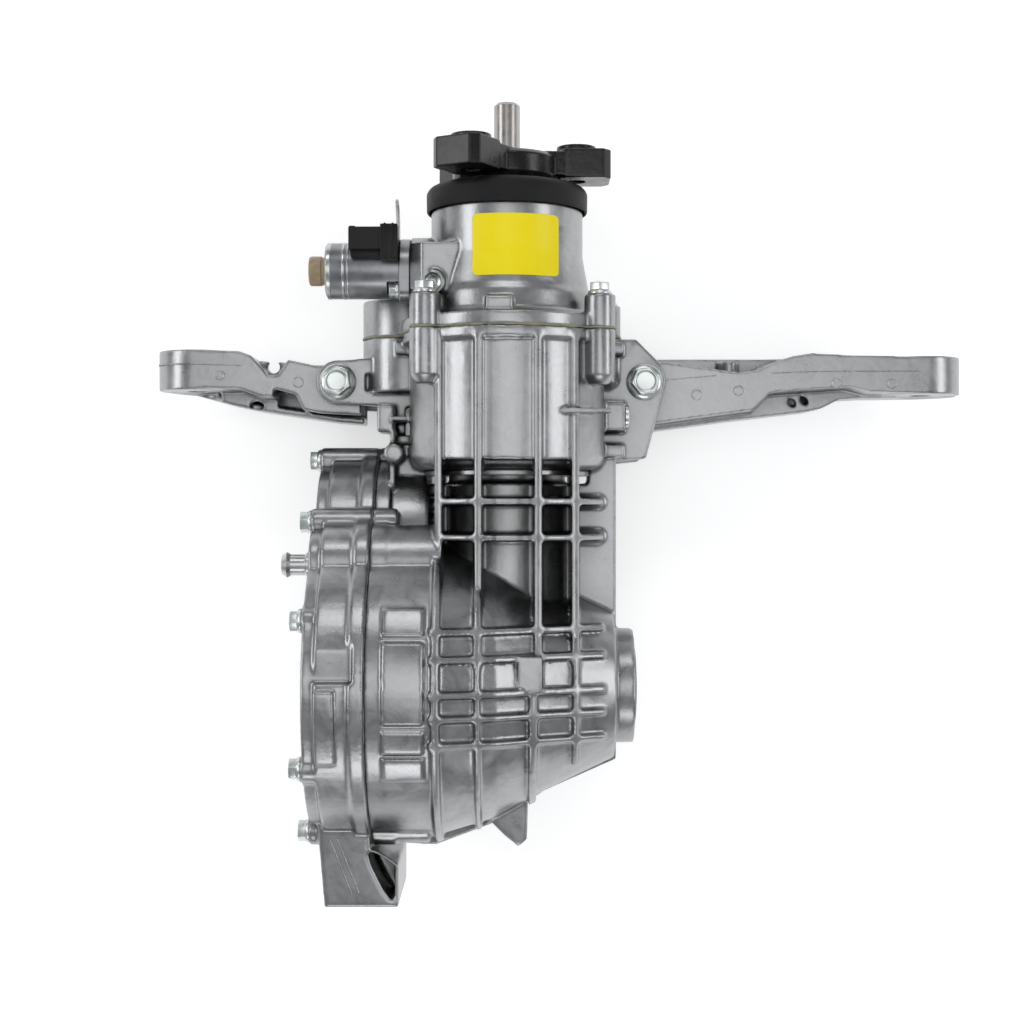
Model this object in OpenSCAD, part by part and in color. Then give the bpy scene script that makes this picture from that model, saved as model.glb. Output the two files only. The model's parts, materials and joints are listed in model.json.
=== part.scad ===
/* [Casting] */
// Distance from the pinion axis to the face of the right output boss
right_face = 87.5; // [86:0.5:90]
// Distance from the pinion axis to the joint face of the side cover
cover_joint = 92; // [91:0.5:94]
// Distance from the pinion axis to the outer face of the side cover
cover_face = 133; // [131:0.5:136]
// Distance from the axle line to the joint face of the front housing
front_joint = 245; // [244:0.5:247]
// Distance from the axle line to the open end of the nose
nose_end = 331; // [330:0.5:333]
// Wall thickness of the castings
wall = 7; // [6:0.5:8]
// Height that the ribs stand above the casting
rib_height = 5; // [3:0.5:6]
// Thickness of a rib
rib_thick = 5; // [4:0.5:6]
// Outer radius of the clutch barrel
barrel_r = 68; // [67:0.5:70]
// Outer radius of the nose
nose_r = 52.8; // [51:0.2:54]
// Radius of the rear chamber where it meets the side cover
chamber_r = 104; // [103:0.5:106]

/* [Gears] */
// Teeth on the ring gear
ring_teeth = 37; // [37, 38, 39]
// Teeth on the drive pinion
pinion_teeth = 14; // [14]
// Room between the ring gear and the wall of its chamber
ring_room = 7; // [6:0.5:8]
// Face width of the ring and pinion teeth
gear_face = 27; // [24:1:28]
// Turn of the spiral along the ring gear's face, in degrees
ring_spiral = 11; // [6:1:13]
// Teeth on each side gear
side_teeth = 16; // [16]
// Teeth on each differential pinion
spider_teeth = 10; // [10]
// Module of the differential gears
spider_module = 4; // [3.8:0.05:4]

/* [Input] */
// Radius of the flange's bolt circle
flange_bolt_r = 48.5; // [47:0.5:50]
// Radius of each flange bolt hole
flange_hole_r = 6.2; // [5.5:0.1:6.5]
// Radius from the shaft to the tip of a flange arm
flange_tip_r = 72; // [70:0.5:73]
// Radius of the pilot stub
stub_r = 9.1; // [8.5:0.1:9.5]
// Distance from the axle line to the end of the pilot stub
stub_end = 406.5; // [400:0.5:410]

/* [Clutch] */
// Number of steel plates in the clutch
plate_pairs = 7; // [5:1:7]
// Thickness of each clutch plate
plate_thick = 2.4; // [2:0.1:2.6]

/* [Arms] */
// Reach of the left arm from the pinion axis
left_reach = 254.5; // [250:0.5:258]
// Reach of the right arm from the pinion axis
right_reach = 330.5; // [326:0.5:334]
// Depth of the arms, measured away from the ears
arm_depth = 62; // [60:1:64]
// Radius of the round pad at the tip of each arm
arm_pad_r = 28; // [26:0.5:29]
// Radius of the mounting hole in each arm
arm_hole_r = 8; // [6:0.5:9]

/* [Hidden] */
$fn = 64;
fit = 0.05;
overlap = 1;
cover_lobe = [100, -40, 58];
cover_bulge = [85, 32, 28];
cover_bolts = [[49.5, 77], [-46.7, 82], [-96, 32], [-88, -46], [-44, -90], [38, -96], [104, -97],
    [158, -42], [114, 20]];
cover_boss_r = 9.5;
foot_half = 46;
foot_end = -145.5;
foot_left = -123;
foot_right = -73;
foot_hole_x = -112;
foot_hole_z = 30;
foot_hole_r = 5;
foot_outline = [[-128, -60], [-97, -60], [-96.4, -91.8], [-92.4, -99], [-92.4, -106.5], [-87.6, -107.5],
    [-80.5, -111.5], [foot_right, -116.6], [foot_right, foot_end], [foot_left, foot_end], [-128, -88]];
foot_pocket = [[-97.4, -92.5], [-94.9, -104.9], [-90.5, -118.7], [-83.2, -133.3], [foot_right - 3, -142.8],
    [foot_right - 2, -118], [-81.4, -113.3], [-87.8, -109.3], [-93.6, -107.6]];
foot_web = 8;
front_bolt_r = 75;
front_bolt_angles = [33, 137, 198, 236, 292, 340];
front_boss_r = 10.5;
front_boss_length = 32;
nose_root = 254.5;
taper_start = 275;
taper_end = 298;
taper_r = 57;
label_start = 279.5;
label_end = 321.5;
label_left = -23;
label_width = 58;
label_thick = 0.25;
label_lift = 0.02;
label_root_r = nose_r + (taper_r - nose_r) * (taper_end - label_start) / (taper_end - taper_start);
ear_y = 213.5;
left_ear_x = -120.3;
right_ear_x = 97.8;
ear_top = -20;
valve_r = 19.4;
socket_y = 308.5;
plug_place = [188, ear_top + 9];
plug_face = 83;
plug_r = 6.5;
ear_thick = 10;
arm_top = ear_top - ear_thick;
arm_bottom = arm_top - arm_depth;
ear_bolt_r = 6;
boss_r = 39.8;
bore_r = 37;
seal_r = 31;
half_shaft_r = 19;
bolt_shank_r = 4;
bolt_head_r = 7.4;
bolt_head_h = 8;

head_cup_r = 40;
neck_r = head_cup_r + 7;
tail_cup_r = 36;
head_start = 99.5;
head_end = 119.5;
tail_start = 136;
tail_end = 154;
piston_inner_r = 41;
piston_outer_r = 57;
piston_start = 141;
piston_end = 158;
clutch_r = 61;
drum_r = 58;
drum_bore_r = 55;
hub_r = 34;
pack_start = 170;
plate_gap = 0.3;
pack_end = pack_start + 2 * plate_pairs * (plate_thick + plate_gap);
input_r = 17;
input_bearing_r = 36;
input_bearing_start = 292;
input_bearing_end = 309;
seal_start = 318;
dust_start = 329;
dust_end = 347.5;
arm_front = 372;
arm_back = 352;

ring_r = chamber_r - wall - ring_room;
ring_cone = atan(ring_teeth / pinion_teeth);
pinion_cone = 90 - ring_cone;
gear_distance = ring_r / sin(ring_cone);
gear_module = 2 * ring_r / ring_teeth;
ring_back = 52.5;
ring_bore_r = 56;
ring_bolt_r = 69;
ring_bolts = 10;
side_cone = atan(side_teeth / spider_teeth);
spider_cone = 90 - side_cone;
spider_distance = spider_module * side_teeth / 2 / sin(side_cone);
spider_face = 12;
case_x = -10;
case_r = 51;
case_ball_r = 42.5;
case_left = -ring_back;
case_right = 36;
case_flange = 10;
journal_r = 21.5;
journal_bore_r = 17;
pin_r = 8;
left_cup_start = -92;
left_cup_end = -74;
right_cup_start = 48;
right_cup_end = 66;

cast_colour = [0.74, 0.75, 0.75];
steel_colour = [0.62, 0.62, 0.6];
zinc_colour = [0.72, 0.76, 0.73];
black_colour = [0.06, 0.06, 0.065];

// Rods and turned shapes along the pinion axis (Y), the axle line (X) and the vertical (Z)
module along_x(x0, x1, r) {
    translate([x0, 0, 0]) rotate([0, 90, 0]) cylinder(h = x1 - x0, r = r);
}
module along_y(y0, y1, r) {
    translate([0, y0, 0]) rotate([-90, 0, 0]) cylinder(h = y1 - y0, r = r);
}
module turned_x(profile) {
    rotate([0, 90, 0]) rotate_extrude() polygon(profile);
}
module turned_y(profile) {
    rotate([-90, 0, 0]) rotate_extrude() polygon(profile);
}
// Outlines pushed along one axis: (x, z) drawn for Y and (y, z) drawn for X
module plate_y(y0, y1) {
    translate([0, y1, 0]) rotate([90, 0, 0]) linear_extrude(y1 - y0) children();
}
module plate_x(x0, x1) {
    translate([x0, 0, 0]) rotate([90, 0, 90]) linear_extrude(x1 - x0) children();
}
module plate_z(z0, z1) {
    translate([0, 0, z0]) linear_extrude(z1 - z0) children();
}
module hexagon(r) {
    circle(r = r, $fn = 6);
}
// Flange bolt pointing down from its seat at the origin
module flange_bolt(shank_r, length, flange_r, hex_r, head_h) {
    translate([0, 0, -length]) cylinder(h = length + overlap, r = shank_r - fit);
    cylinder(h = head_h * 0.22, r = flange_r);
    translate([0, 0, head_h * 0.2]) cylinder(h = head_h * 0.16, r1 = flange_r, r2 = hex_r * 0.9);
    intersection() {
        linear_extrude(head_h) hexagon(hex_r);
        cylinder(h = head_h, r1 = hex_r + head_h * 0.9, r2 = hex_r * 0.92);
    }
}

// Outline of the joint between the rear chamber and the side cover, seen along X
module cover_outline(grow) {
    circle(r = chamber_r + grow);
    translate([cover_lobe[0], cover_lobe[1]]) circle(r = cover_lobe[2] + grow);
    translate([cover_bulge[0], cover_bulge[1]]) circle(r = cover_bulge[2] + grow);
}
module at_cover_bolts() {
    for (p = cover_bolts) translate([0, p[0], p[1]]) children();
}
module at_front_bolts() {
    for (a = front_bolt_angles) rotate([0, -a, 0]) translate([front_bolt_r, 0, 0]) children();
}

chamber_profile = [[0, -92], [chamber_r, -92], [chamber_r, -50], [chamber_r - 13, -7], [chamber_r - 32, 27],
    [chamber_r - 54, 74], [0, 74]];
chamber_inside = [[0, -93], [chamber_r - wall, -93], [chamber_r - wall, -52], [chamber_r - wall - 3.5, -28],
    [chamber_r - wall - 12, -4], [chamber_r - wall - 31, 30], [46, 48], [0, 48]];
module chamber_shell(grow) {
    turned_x([for (p = chamber_profile) [p[0] > 0 ? p[0] + grow : 0, p[1]]]);
}

// Ribs that run fore and aft, and across, clipped to an even height over barrel, neck and chamber
fore_ribs = [-46, -19, 21, 46];
neck_ribs = [128, 104];
chamber_ribs = [43, 25.5, 3, -12.5, -30];
edge_pads = [[50, 17], [10.5, 52], [-27.5, 15], [-46, 14.5]];
barrel_pads = [[-41.5, 18], [-14.5, 31], [25.5, 16]];
pad_height = 1.6;
button_y = 223;
button_angle = 27.8;
button_r = 6.6;
rib_left = -50;
rib_right = 66;
module fore_rib(x, y0, y1, thick) {
    translate([x - thick / 2, y0, -125]) cube([thick, y1 - y0, 250]);
}
module cross_rib(y, x0, x1, thick) {
    translate([x0, y - thick / 2, -125]) cube([x1 - x0, thick, 250]);
}
module rib_grid() {
    for (x = fore_ribs) fore_rib(x, 20, front_joint - 4, rib_thick);
    fore_rib(fore_ribs[0], -118, 30, rib_thick);
    fore_rib(fore_ribs[1], -100, 30, rib_thick - 2);
    fore_rib(fore_ribs[2] - 3.5, -80, 8, rib_thick);
    fore_rib(fore_ribs[3], -50, 30, rib_thick - 1);
    for (y = neck_ribs) cross_rib(y, rib_left + 6, rib_right, rib_thick - 1);
    for (y = chamber_ribs) cross_rib(y, rib_left, rib_right, rib_thick - 1);
    for (p = edge_pads) cross_rib(p[0], -cover_joint + 12, rib_left - 4, p[1]);
}
module rib_envelope() {
    intersection() {
        chamber_shell(rib_height);
        translate([rib_left - 2, -120, -120]) cube([rib_right - rib_left + 8, 240, 240]);
    }
    intersection() {
        chamber_shell(rib_height - 2.5);
        translate([-cover_joint, -120, -120]) cube([cover_joint + rib_left + 4, 240, 240]);
    }
    along_y(20, front_joint - 4, barrel_r + rib_height);
}
// Raised panels between the ribs of the barrel
module barrel_panels() {
    intersection() {
        along_y(156, front_joint - 9, barrel_r + pad_height);
        for (p = barrel_pads) translate([p[0], 100, -100]) cube([p[1], 150, 200]);
    }
}
// Flat web on the mould's parting plane, round the neck and along the chamber down to the output boss
web_edge = 76.7;
module parting_web() {
    polygon([[30, 160], [web_edge, 170], [web_edge, 36], [web_edge, -52.7], [26, -75.2], [-7, -97],
        [-50, -113],
        [-72, -112], [-72, -80], [-10, -60], [30, 40]]);
}

module pump_lobe() {
    translate([-72, -42]) circle(r = 32);
    polygon([[-64, -11], [-40, 20], [-20, -40], [-60, -70]]);
}
// Outline of the joint between the two housings: the barrel's flange with its bolt bosses and the pump lobe
module front_outline() {
    circle(r = barrel_r + 4.5);
    for (a = front_bolt_angles) rotate(a) translate([front_bolt_r, 0]) circle(r = front_boss_r);
    pump_lobe();
}
module ear_outline_right() {
    polygon([[50, 158], [80, 157], [99, 159], [113.5, 214], [110, 226], [92, front_joint - 1],
        [50, front_joint - 1]]);
}
module left_ear() {
    difference() {
        union() {
            translate([left_ear_x, ear_y]) circle(r = 15.8);
            polygon([[left_ear_x, ear_y + 15.5], [-60, ear_y + 20], [-60, ear_y - 19],
                [left_ear_x, ear_y - 15.5]]);
        }
        polygon([[-101, ear_y + 6], [-79, ear_y + 9], [-79, ear_y - 9], [-101, ear_y - 6]]);
    }
}
// Cross walls that carry the two pairs of ears
module ear_walls() {
    for (y = [160, 232]) translate([0, y, arm_bottom - ear_thick]) {
        translate([-78, 0, 0]) cube([160, 8, -arm_bottom + ear_thick]);
    }
    translate([68, 160, arm_bottom - ear_thick]) cube([8, 80, -arm_bottom + ear_thick - 20]);
    translate([-80, 160, arm_bottom - ear_thick]) cube([8, 80, -arm_bottom + ear_thick - 20]);
}

// Round-ended bump on the web beside a rib
module slot_bump(y, z) {
    translate([42, y - 4.5, z - 6]) cube([22, 9, 10]);
    translate([64, y, z - 6]) cylinder(h = 10, r = 4.5);
}
module main_housing() {
    color(cast_colour)
    difference() {
        union() {
            turned_y([[0, 150], [barrel_r - 8, 150], [barrel_r - 2.5, 153], [barrel_r, 158.5],
                [barrel_r, front_joint - 4], [0, front_joint - 4]]);
            along_y(20, 154, neck_r);
            barrel_panels();
            chamber_shell(0);
            intersection() {
                rib_grid();
                rib_envelope();
            }
            along_x(60, right_face, boss_r);
            plate_x(-cover_joint, -cover_joint + 11) cover_outline(0);
            plate_x(-cover_joint, -54) difference() {
                translate([cover_lobe[0], cover_lobe[1]]) circle(r = cover_lobe[2] - 3);
                circle(r = 80);
            }
            translate([0, cover_bulge[0], cover_bulge[1]]) along_x(-cover_joint, -44, cover_bulge[2] - 0.5);
            at_cover_bolts() along_x(-cover_joint, -cover_joint + 17, cover_boss_r);
            translate([0, -94.5, 32]) along_x(-cover_joint, -52, cover_boss_r);
            plate_y(front_joint - 8, front_joint) front_outline();
            at_front_bolts() along_y(front_joint - front_boss_length, front_joint - 4, front_boss_r);
            at_front_bolts() facing_y(front_joint - front_boss_length - 6) {
                cylinder(h = 6, r1 = front_boss_r * 0.55, r2 = front_boss_r);
            }
            plate_z(-14, -6) parting_web();
            plate_z(-20, -10) polygon([[-80, 175], [-46, 175], [-46, 108], [-80, 108]]);
            for (y = [131, 121, 111]) translate([-80, y - 1.5, -20]) cube([36, 3, 16]);
            for (y = neck_ribs) slot_bump(y, -8);
            slot_bump(front_joint - 21, ear_top + 3);
            translate([7.5, 3.5, 58]) cube([15.8, 23, 27]);
            translate([-91, 177, -40]) cube([12, 19, 42]);
            translate([-80, 184.5, -20]) cube([32, 3, 28]);
            translate([-82, 112, -60]) cube([4, 66, 62]);
            translate([-79, 162, -30]) cylinder(h = 36, r = 7);
            translate([0, button_y, 0]) rotate([0, -button_angle, 0])
                cylinder(h = barrel_r + pad_height, r = button_r);
            translate([0, -80, 38]) along_x(-cover_joint, -70, 13);
            translate([-70, -80, 38]) rotate([0, 90, 0]) cylinder(h = 6, r1 = 13, r2 = 8);
            translate([14, 187.5, 38]) cube([56, 3, 22]);
            plate_z(ear_top - ear_thick, ear_top) ear_outline_right();
            plate_z(arm_bottom - ear_thick, arm_bottom) ear_outline_right();
            plate_z(ear_top - ear_thick, ear_top) left_ear();
            plate_z(arm_bottom - ear_thick, arm_bottom) left_ear();
            ear_walls();
            plate_z(-6, 2) polygon([[-19, -88], [-2, -105], [8, -113], [14, -108], [15, -76]]);
            translate([66, plug_place[0] - 10, ear_top - overlap]) cube([plug_face - 66, 20, 19]);
            plate_y(206, front_joint - 4) pump_lobe();
        }
        turned_x(chamber_inside);
        along_x(40, right_cup_end, bore_r);
        along_x(60, 76, half_shaft_r + 4);
        along_x(76, right_face + overlap, seal_r);
        along_y(60, head_end, head_cup_r);
        along_y(head_end - overlap, tail_start + overlap, tail_cup_r - 3);
        along_y(tail_start, tail_end + overlap, tail_cup_r);
        difference() {
            along_y(piston_start, piston_end + overlap, piston_outer_r);
            along_y(piston_start - overlap, tail_end, piston_inner_r);
        }
        along_y(piston_end, front_joint + overlap, clutch_r);
        translate([0, cover_bulge[0], cover_bulge[1]]) along_x(-cover_joint - overlap, -50, 20);
        plate_x(-cover_joint - overlap, -60) difference() {
            translate([cover_lobe[0], cover_lobe[1]]) circle(r = cover_lobe[2] - 10);
            circle(r = 88);
            translate([cover_bulge[0], cover_bulge[1]]) circle(r = 27);
        }
        at_cover_bolts() along_x(-cover_joint - overlap, -cover_joint + 14, bolt_shank_r);
        at_front_bolts() along_y(front_joint - 16, front_joint + overlap, bolt_shank_r);
        for (x = [left_ear_x, right_ear_x]) translate([x, ear_y, 0]) {
            translate([0, 0, arm_top - overlap]) cylinder(h = ear_thick + 2 * overlap, r = ear_bolt_r + 0.5);
            translate([0, 0, arm_bottom - ear_thick - overlap])
                cylinder(h = ear_thick + 2 * overlap, r = ear_bolt_r + 0.5);
        }
        translate([0, plug_place[0], plug_place[1]]) along_x(plug_face - 9, plug_face + overlap, plug_r);
    }
}
module front_housing() {
    color(cast_colour)
    difference() {
        union() {
            plate_y(front_joint, nose_root) front_outline();
            turned_y([[0, front_joint + 4], [66, front_joint + 4], [66, nose_root], [61, 258], [59, 271],
                [taper_r, taper_start], [nose_r, taper_end], [nose_r, nose_end], [0, nose_end]]);
            at_front_bolts() along_y(front_joint + 4, 268, front_boss_r);
            translate([-14, front_joint + 4, 40]) cube([18, 16, 27]);
            plate_y(front_joint + 4, 272) pump_lobe();
            difference() {
                translate([-66, 272, -12]) cube([34, 32, 54]);
                translate([-66, 272, 42]) rotate([0, 45, 0]) cube([12, 80, 12], center = true);
            }
            translate([-66, 288, 10]) rotate([0, 90, 0]) cylinder(h = 20, r = 23);
            translate([-50, 276.5, 20]) cylinder(h = 25, r = 8.5);
            translate([-66, 273, 24]) along_x(0, 16, 7);
        }
        along_y(front_joint - overlap, 262, clutch_r - 6);
        along_y(261, input_bearing_start + overlap, 26);
        along_y(input_bearing_start, input_bearing_end, input_bearing_r);
        along_y(input_bearing_end - overlap, seal_start + overlap, 30);
        along_y(seal_start, nose_end + overlap, 33);
        at_front_bolts() along_y(front_joint - overlap, 270, bolt_shank_r + 0.5);
        translate([-50, 276.5, 36]) cylinder(h = 10, r = 5.5);
        translate([0, 288, 10]) along_x(-67, -48, 9);
        translate([0, 273, 24]) along_x(-67, -52, 3);
        plate_y(front_joint - overlap, 266) translate([-72, -42]) circle(r = 24);
        at_front_bolts() along_y(268, 290, 9.2);
    }
}

module side_cover() {
    color(cast_colour)
    difference() {
        union() {
            plate_x(-124, -cover_joint) cover_outline(0);
            plate_x(-cover_face, -123) cover_outline(-4);
            plate_x(-cover_joint - 10, -cover_joint) cover_outline(2.5);
            at_cover_bolts() along_x(-cover_face - 1, -cover_joint, cover_boss_r);
            along_x(-124, left_cup_end, 44);
            plate_z(-foot_half, foot_half) polygon(foot_outline);
            intersection() {
                plate_x(-124, -111) cover_outline(3);
                translate([-130, -42, 0]) cube([30, 48, 130]);
            }
            along_x(-cover_face - 2, -cover_joint, 47);
        }
        plate_x(-124, -cover_joint + overlap) difference() {
            offset(delta = -wall - 1) cover_outline(0);
            circle(r = 50);
            for (p = cover_bolts) translate([p[0], p[1]]) circle(r = cover_boss_r + 1);
        }
        plate_x(-cover_joint, -cover_joint + 40) difference() {
            circle(r = 60);
            circle(r = 43.5);
        }
        along_x(left_cup_start, left_cup_end + overlap, bore_r);
        along_x(-122, left_cup_start + overlap, half_shaft_r + 4);
        along_x(-cover_face - 3, -121, seal_r);
        at_cover_bolts() along_x(-cover_face - 3, -cover_joint + overlap, bolt_shank_r + 0.5);
        translate([0, cover_bulge[0], cover_bulge[1]]) along_x(-cover_face - 3, -123, 5);
        translate([-130, 11, chamber_r - 5]) cube([31, 28, 10]);
        for (m = [0, 1]) mirror([0, 0, m]) {
            plate_z(foot_web, foot_half + overlap) polygon(foot_pocket);
            translate([foot_hole_x, foot_end - overlap, foot_hole_z]) rotate([-90, 0, 0])
                cylinder(h = 24, r = foot_hole_r);
        }
        for (x = [-118.5, -114]) translate([x, -100, foot_half]) rotate(-68) translate([0, -0.6, -0.8])
            cube([52, 1.2, 2]);
    }
}

// Arm castings: a near web and a far web joined by a top skin, an underside in two levels and cross ribs,
// with a round pad at the tip
arm_skin = 7;
arm_rib = 5;
arm_step = 26;
arm_hub_r = 14;
spot_r = 17;
arm_hole_depth = 24;
module skin(points, depth) {
    polygon(concat(points, [for (i = [len(points) - 1 : -1 : 0]) points[i] - [0, depth]]));
}
module band(upper, lower) {
    polygon(concat(upper, [for (i = [len(lower) - 1 : -1 : 0]) lower[i]]));
}
module arm(near, far, top, low_near, low_far, plan, ribs, pad_x, pad_y, ear_x) {
    pad_z = arm_top - arm_pad_r;
    difference() {
        union() {
            intersection() {
                union() {
                    plate_z(arm_top - arm_skin, arm_top) polygon(near);
                    plate_z(arm_bottom, arm_bottom + arm_skin) polygon(far);
                    plate_z(arm_bottom, arm_top) skin(top, arm_skin);
                    plate_z(arm_bottom + arm_step, arm_top) skin(low_near, -arm_rib);
                    plate_z(arm_bottom, arm_bottom + arm_step + arm_rib) skin(low_far, -arm_rib);
                    plate_z(arm_bottom + arm_step, arm_bottom + arm_step + arm_rib) band(low_near, low_far);
                    intersection() {
                        plate_z(arm_bottom, arm_top) polygon(near);
                        plate_z(arm_bottom, arm_top) polygon(far);
                        for (r = ribs) translate([r, 150, arm_bottom]) cube([arm_rib, 100, arm_depth]);
                    }
                }
                plate_y(150, 250) polygon(plan);
            }
            translate([0, 0, pad_z]) translate([pad_x, 0, 0]) along_y(pad_y[0], pad_y[1], arm_pad_r);
            translate([ear_x, ear_y, arm_bottom]) cylinder(h = arm_depth, r = arm_hub_r);
        }
        translate([pad_x, 0, pad_z]) along_y(pad_y[0] - 10, pad_y[1] + 10, arm_hole_r);
        translate([pad_x, 0, pad_z]) along_y(pad_y[0] - 15, pad_y[0], spot_r);
        translate([pad_x, 0, pad_z]) along_y(pad_y[1], pad_y[1] + 15, spot_r);
        for (z = [arm_bottom - overlap, arm_top - arm_hole_depth]) translate([ear_x, ear_y, z]) {
            cylinder(h = arm_hole_depth + overlap, r = ear_bolt_r);
        }
    }
}

right_low_near = [[82, 182], [107, 184.8], [177, 194.2], [188.6, 206], [193.6, 207.1], [246.6, 211],
    [261.7, 207.1], [right_reach, 206.4]];
right_low_far = [[82, 178.5], [111.8, 181.2], [161.4, 187.9], [220, 194.7], [231.4, 197.2], [244.1, 203.7],
    [261.7, 204.6], [right_reach, 205.2]];
right_top = [[82, 230], [117, 228], [167.1, 221], [180, 223], [192.2, 229], [205, 233], [218.7, 235.1],
    [246, 233.6], [right_reach, 232]];
right_near = concat(right_low_near, [[right_reach, 232], [246, 233.6], [218.7, 235.1], [205, 233],
    [192.2, 228.6], [180, 222.5], [167.1, 220], [117, 227.2], [82, 230]]);
right_far = concat(right_low_far, [[right_reach, 233], [218, 236], [190, 235.3], [118, 235.3], [82, 235]]);
right_plan = [[82, arm_top], [right_reach - 28, arm_top], [right_reach - 8, arm_top - 9],
    [right_reach, arm_top - 28], [right_reach - 8, arm_top - 47], [right_reach - 28, arm_top - 56],
    [180, arm_bottom], [82, arm_bottom]];
right_ovals = [[209, 201.5], [218, 203]];
module right_arm() {
    color(cast_colour)
    difference() {
        union() {
            arm(right_near, right_far, right_top, right_low_near, right_low_far, right_plan,
                [128, 158, 190, 222, 252], right_reach - arm_pad_r, [206, 233.2], right_ear_x);
            translate([164, 232, arm_bottom]) rotate([90, 0, 0]) cylinder(h = 14, r = 7);
            translate([157, 218, arm_bottom]) cube([14, 14, 22]);
            translate([164, 232, arm_bottom + 22]) rotate([90, 0, 0]) cylinder(h = 14, r = 7);
        }
        translate([60, 150, arm_bottom - 20]) cube([150, 100, 20]);
        for (p = right_ovals) translate([p[0], p[1], arm_bottom + arm_step - 2]) rotate(-50)
            scale([1, 0.6, 1]) {
            cylinder(h = 12, r = 3.6);
        }
    }
}

left_root = -105;
left_low_near = [[-left_reach, 211], [-192, 209.2], [-176, 203.5], [-168, 203.5]];
left_low_far = [[-left_reach, 209], [-231, 207.5], [-201, 199.2], [-182, 195.4], [-168, 193.3]];
left_low_root = [[-left_reach, 209], [-231, 207.5], [-201, 199.2], [-182, 195.4], [-126, 187.2],
    [left_root, 185.5]];
left_near = [[-left_reach, 211], [-192, 209.2], [-176, 203.5], [-172, 203.5], [-166.5, 209.2], [-152, 205.6],
    [-146.4, 194.2], [-134, 192], [left_root, 190.5], [left_root, 229.2], [-112, 229], [-135.6, 225.7],
    [-157.2, 230.4],
    [-165, 219.3], [-172, 219.3], [-175.8, 224.5], [-184, 233.5], [-192, 236.5], [-220, 237.6],
    [-left_reach, 235]];
left_far = concat(left_low_root, [[left_root, 231], [-157, 231], [-166, 222], [-175, 222], [-184, 233.5],
    [-220, 236], [-left_reach, 234]]);
left_top = [[-left_reach, 235], [-220, 237.4], [-192, 236.4], [-184, 233.4], [-175.8, 224.4], [-172, 219.3],
    [-165, 219.3], [-157.2, 230.3], [-135.6, 225.7], [-112, 229], [left_root, 229.2]];
left_plan = [[left_root, arm_top], [-left_reach + 28, arm_top], [-left_reach + 8, arm_top - 9],
    [-left_reach, arm_top - 28], [-left_reach + 8, arm_top - 47], [-left_reach + 28, arm_top - 56],
    [-160, arm_bottom], [left_root, arm_bottom]];
module left_arm() {
    color(cast_colour)
    difference() {
        union() {
            arm(left_near, left_far, left_top, left_low_near, left_low_far, left_plan, [-150, -196],
                -left_reach + arm_pad_r, [209, 237.8], left_ear_x);
            plate_z(arm_bottom, arm_bottom + arm_step + arm_rib)
                skin([for (q = left_low_root) if (q[0] > -190) q], -arm_rib);
            plate_z(arm_top - 26, arm_top - 18)
                polygon([[-181, 231], [-156, 229.5], [-156, 213], [-181, 213]]);
        }
        plate_z(arm_top - 27, arm_top - 17) {
            translate([-170, 226.5]) circle(r = 4.5);
        }
        translate([-184, 199, arm_bottom + arm_step - 2]) scale([1, 0.7, 1]) cylinder(h = 12, r = 5);
    }
}

module arm_bolts() {
    color(zinc_colour)
    for (x = [left_ear_x, right_ear_x]) translate([x, ear_y, 0]) {
        translate([0, 0, ear_top]) flange_bolt(ear_bolt_r, ear_thick + 20, 13, 10.4, 11);
        translate([0, 0, arm_bottom - ear_thick]) mirror([0, 0, 1])
            flange_bolt(ear_bolt_r, ear_thick + 20, 13, 10.4, 11);
    }
}
module cover_bolts() {
    color(zinc_colour)
    at_cover_bolts() translate([-cover_face - 1, 0, 0]) rotate([0, -90, 0]) {
        flange_bolt(bolt_shank_r, cover_face - cover_joint + 12, 8.2, bolt_head_r, bolt_head_h);
    }
}
module front_bolts() {
    color(zinc_colour)
    at_front_bolts() translate([0, 268, 0]) rotate([-90, 0, 0]) {
        flange_bolt(bolt_shank_r, 268 - front_joint + 14, 8.2, bolt_head_r, bolt_head_h);
    }
}
module fill_plug() {
    color(steel_colour)
    translate([0, plug_place[0], plug_place[1]]) difference() {
        union() {
            along_x(plug_face - 8, plug_face + overlap, plug_r - fit);
            along_x(plug_face, plug_face + 3, plug_r + 2);
        }
        translate([plug_face - 4, 0, 0]) rotate([0, 90, 0]) linear_extrude(10) hexagon(3.4);
    }
}
module passage_plug() {
    color(steel_colour)
    translate([-50, 276.5, 0]) difference() {
        translate([0, 0, 36.2]) cylinder(h = 5, r = 5.5 - fit);
        translate([0, 0, 49]) sphere(r = 10);
    }
}
module breather_barb() {
    color(steel_colour)
    translate([0, cover_bulge[0], cover_bulge[1]]) difference() {
        turned_x([[0, -128], [5 - fit, -128], [5 - fit, -cover_face], [8.5, -cover_face], [8.5, -136],
            [7.2, -137],
            [7.2, -147], [8.8, -149.5], [6.4, -153], [0, -153]]);
        along_x(-154, -127, 3);
    }
}
module solenoid_axis() {
    translate([0, 288, 10]) children();
}
module solenoid_body() {
    color(steel_colour)
    difference() {
        union() {
            solenoid_axis() turned_x([[0, -125], [valve_r - 0.8, -125], [valve_r, -124], [valve_r, -118],
                [valve_r - 0.6, -117.4], [valve_r - 0.6, -116.2], [valve_r, -115.6], [valve_r, -73],
                [0, -73]]);
            plate_x(-74, -66) {
                translate([288, 10]) circle(r = 22);
                translate([273, 24]) circle(r = 7.5);
            }
            solenoid_axis() along_x(-67, -50, 9 - fit);
        }
        translate([0, 273, 24]) along_x(-90, -60, 3.2);
        translate([0, 273, 24]) along_x(-110, -74, 6.4);
    }
}
module solenoid_cap() {
    color([0.55, 0.47, 0.36])
    solenoid_axis() turned_x([[0, -137], [9, -137], [10, -136], [10, -125], [0, -125]]);
}
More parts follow.
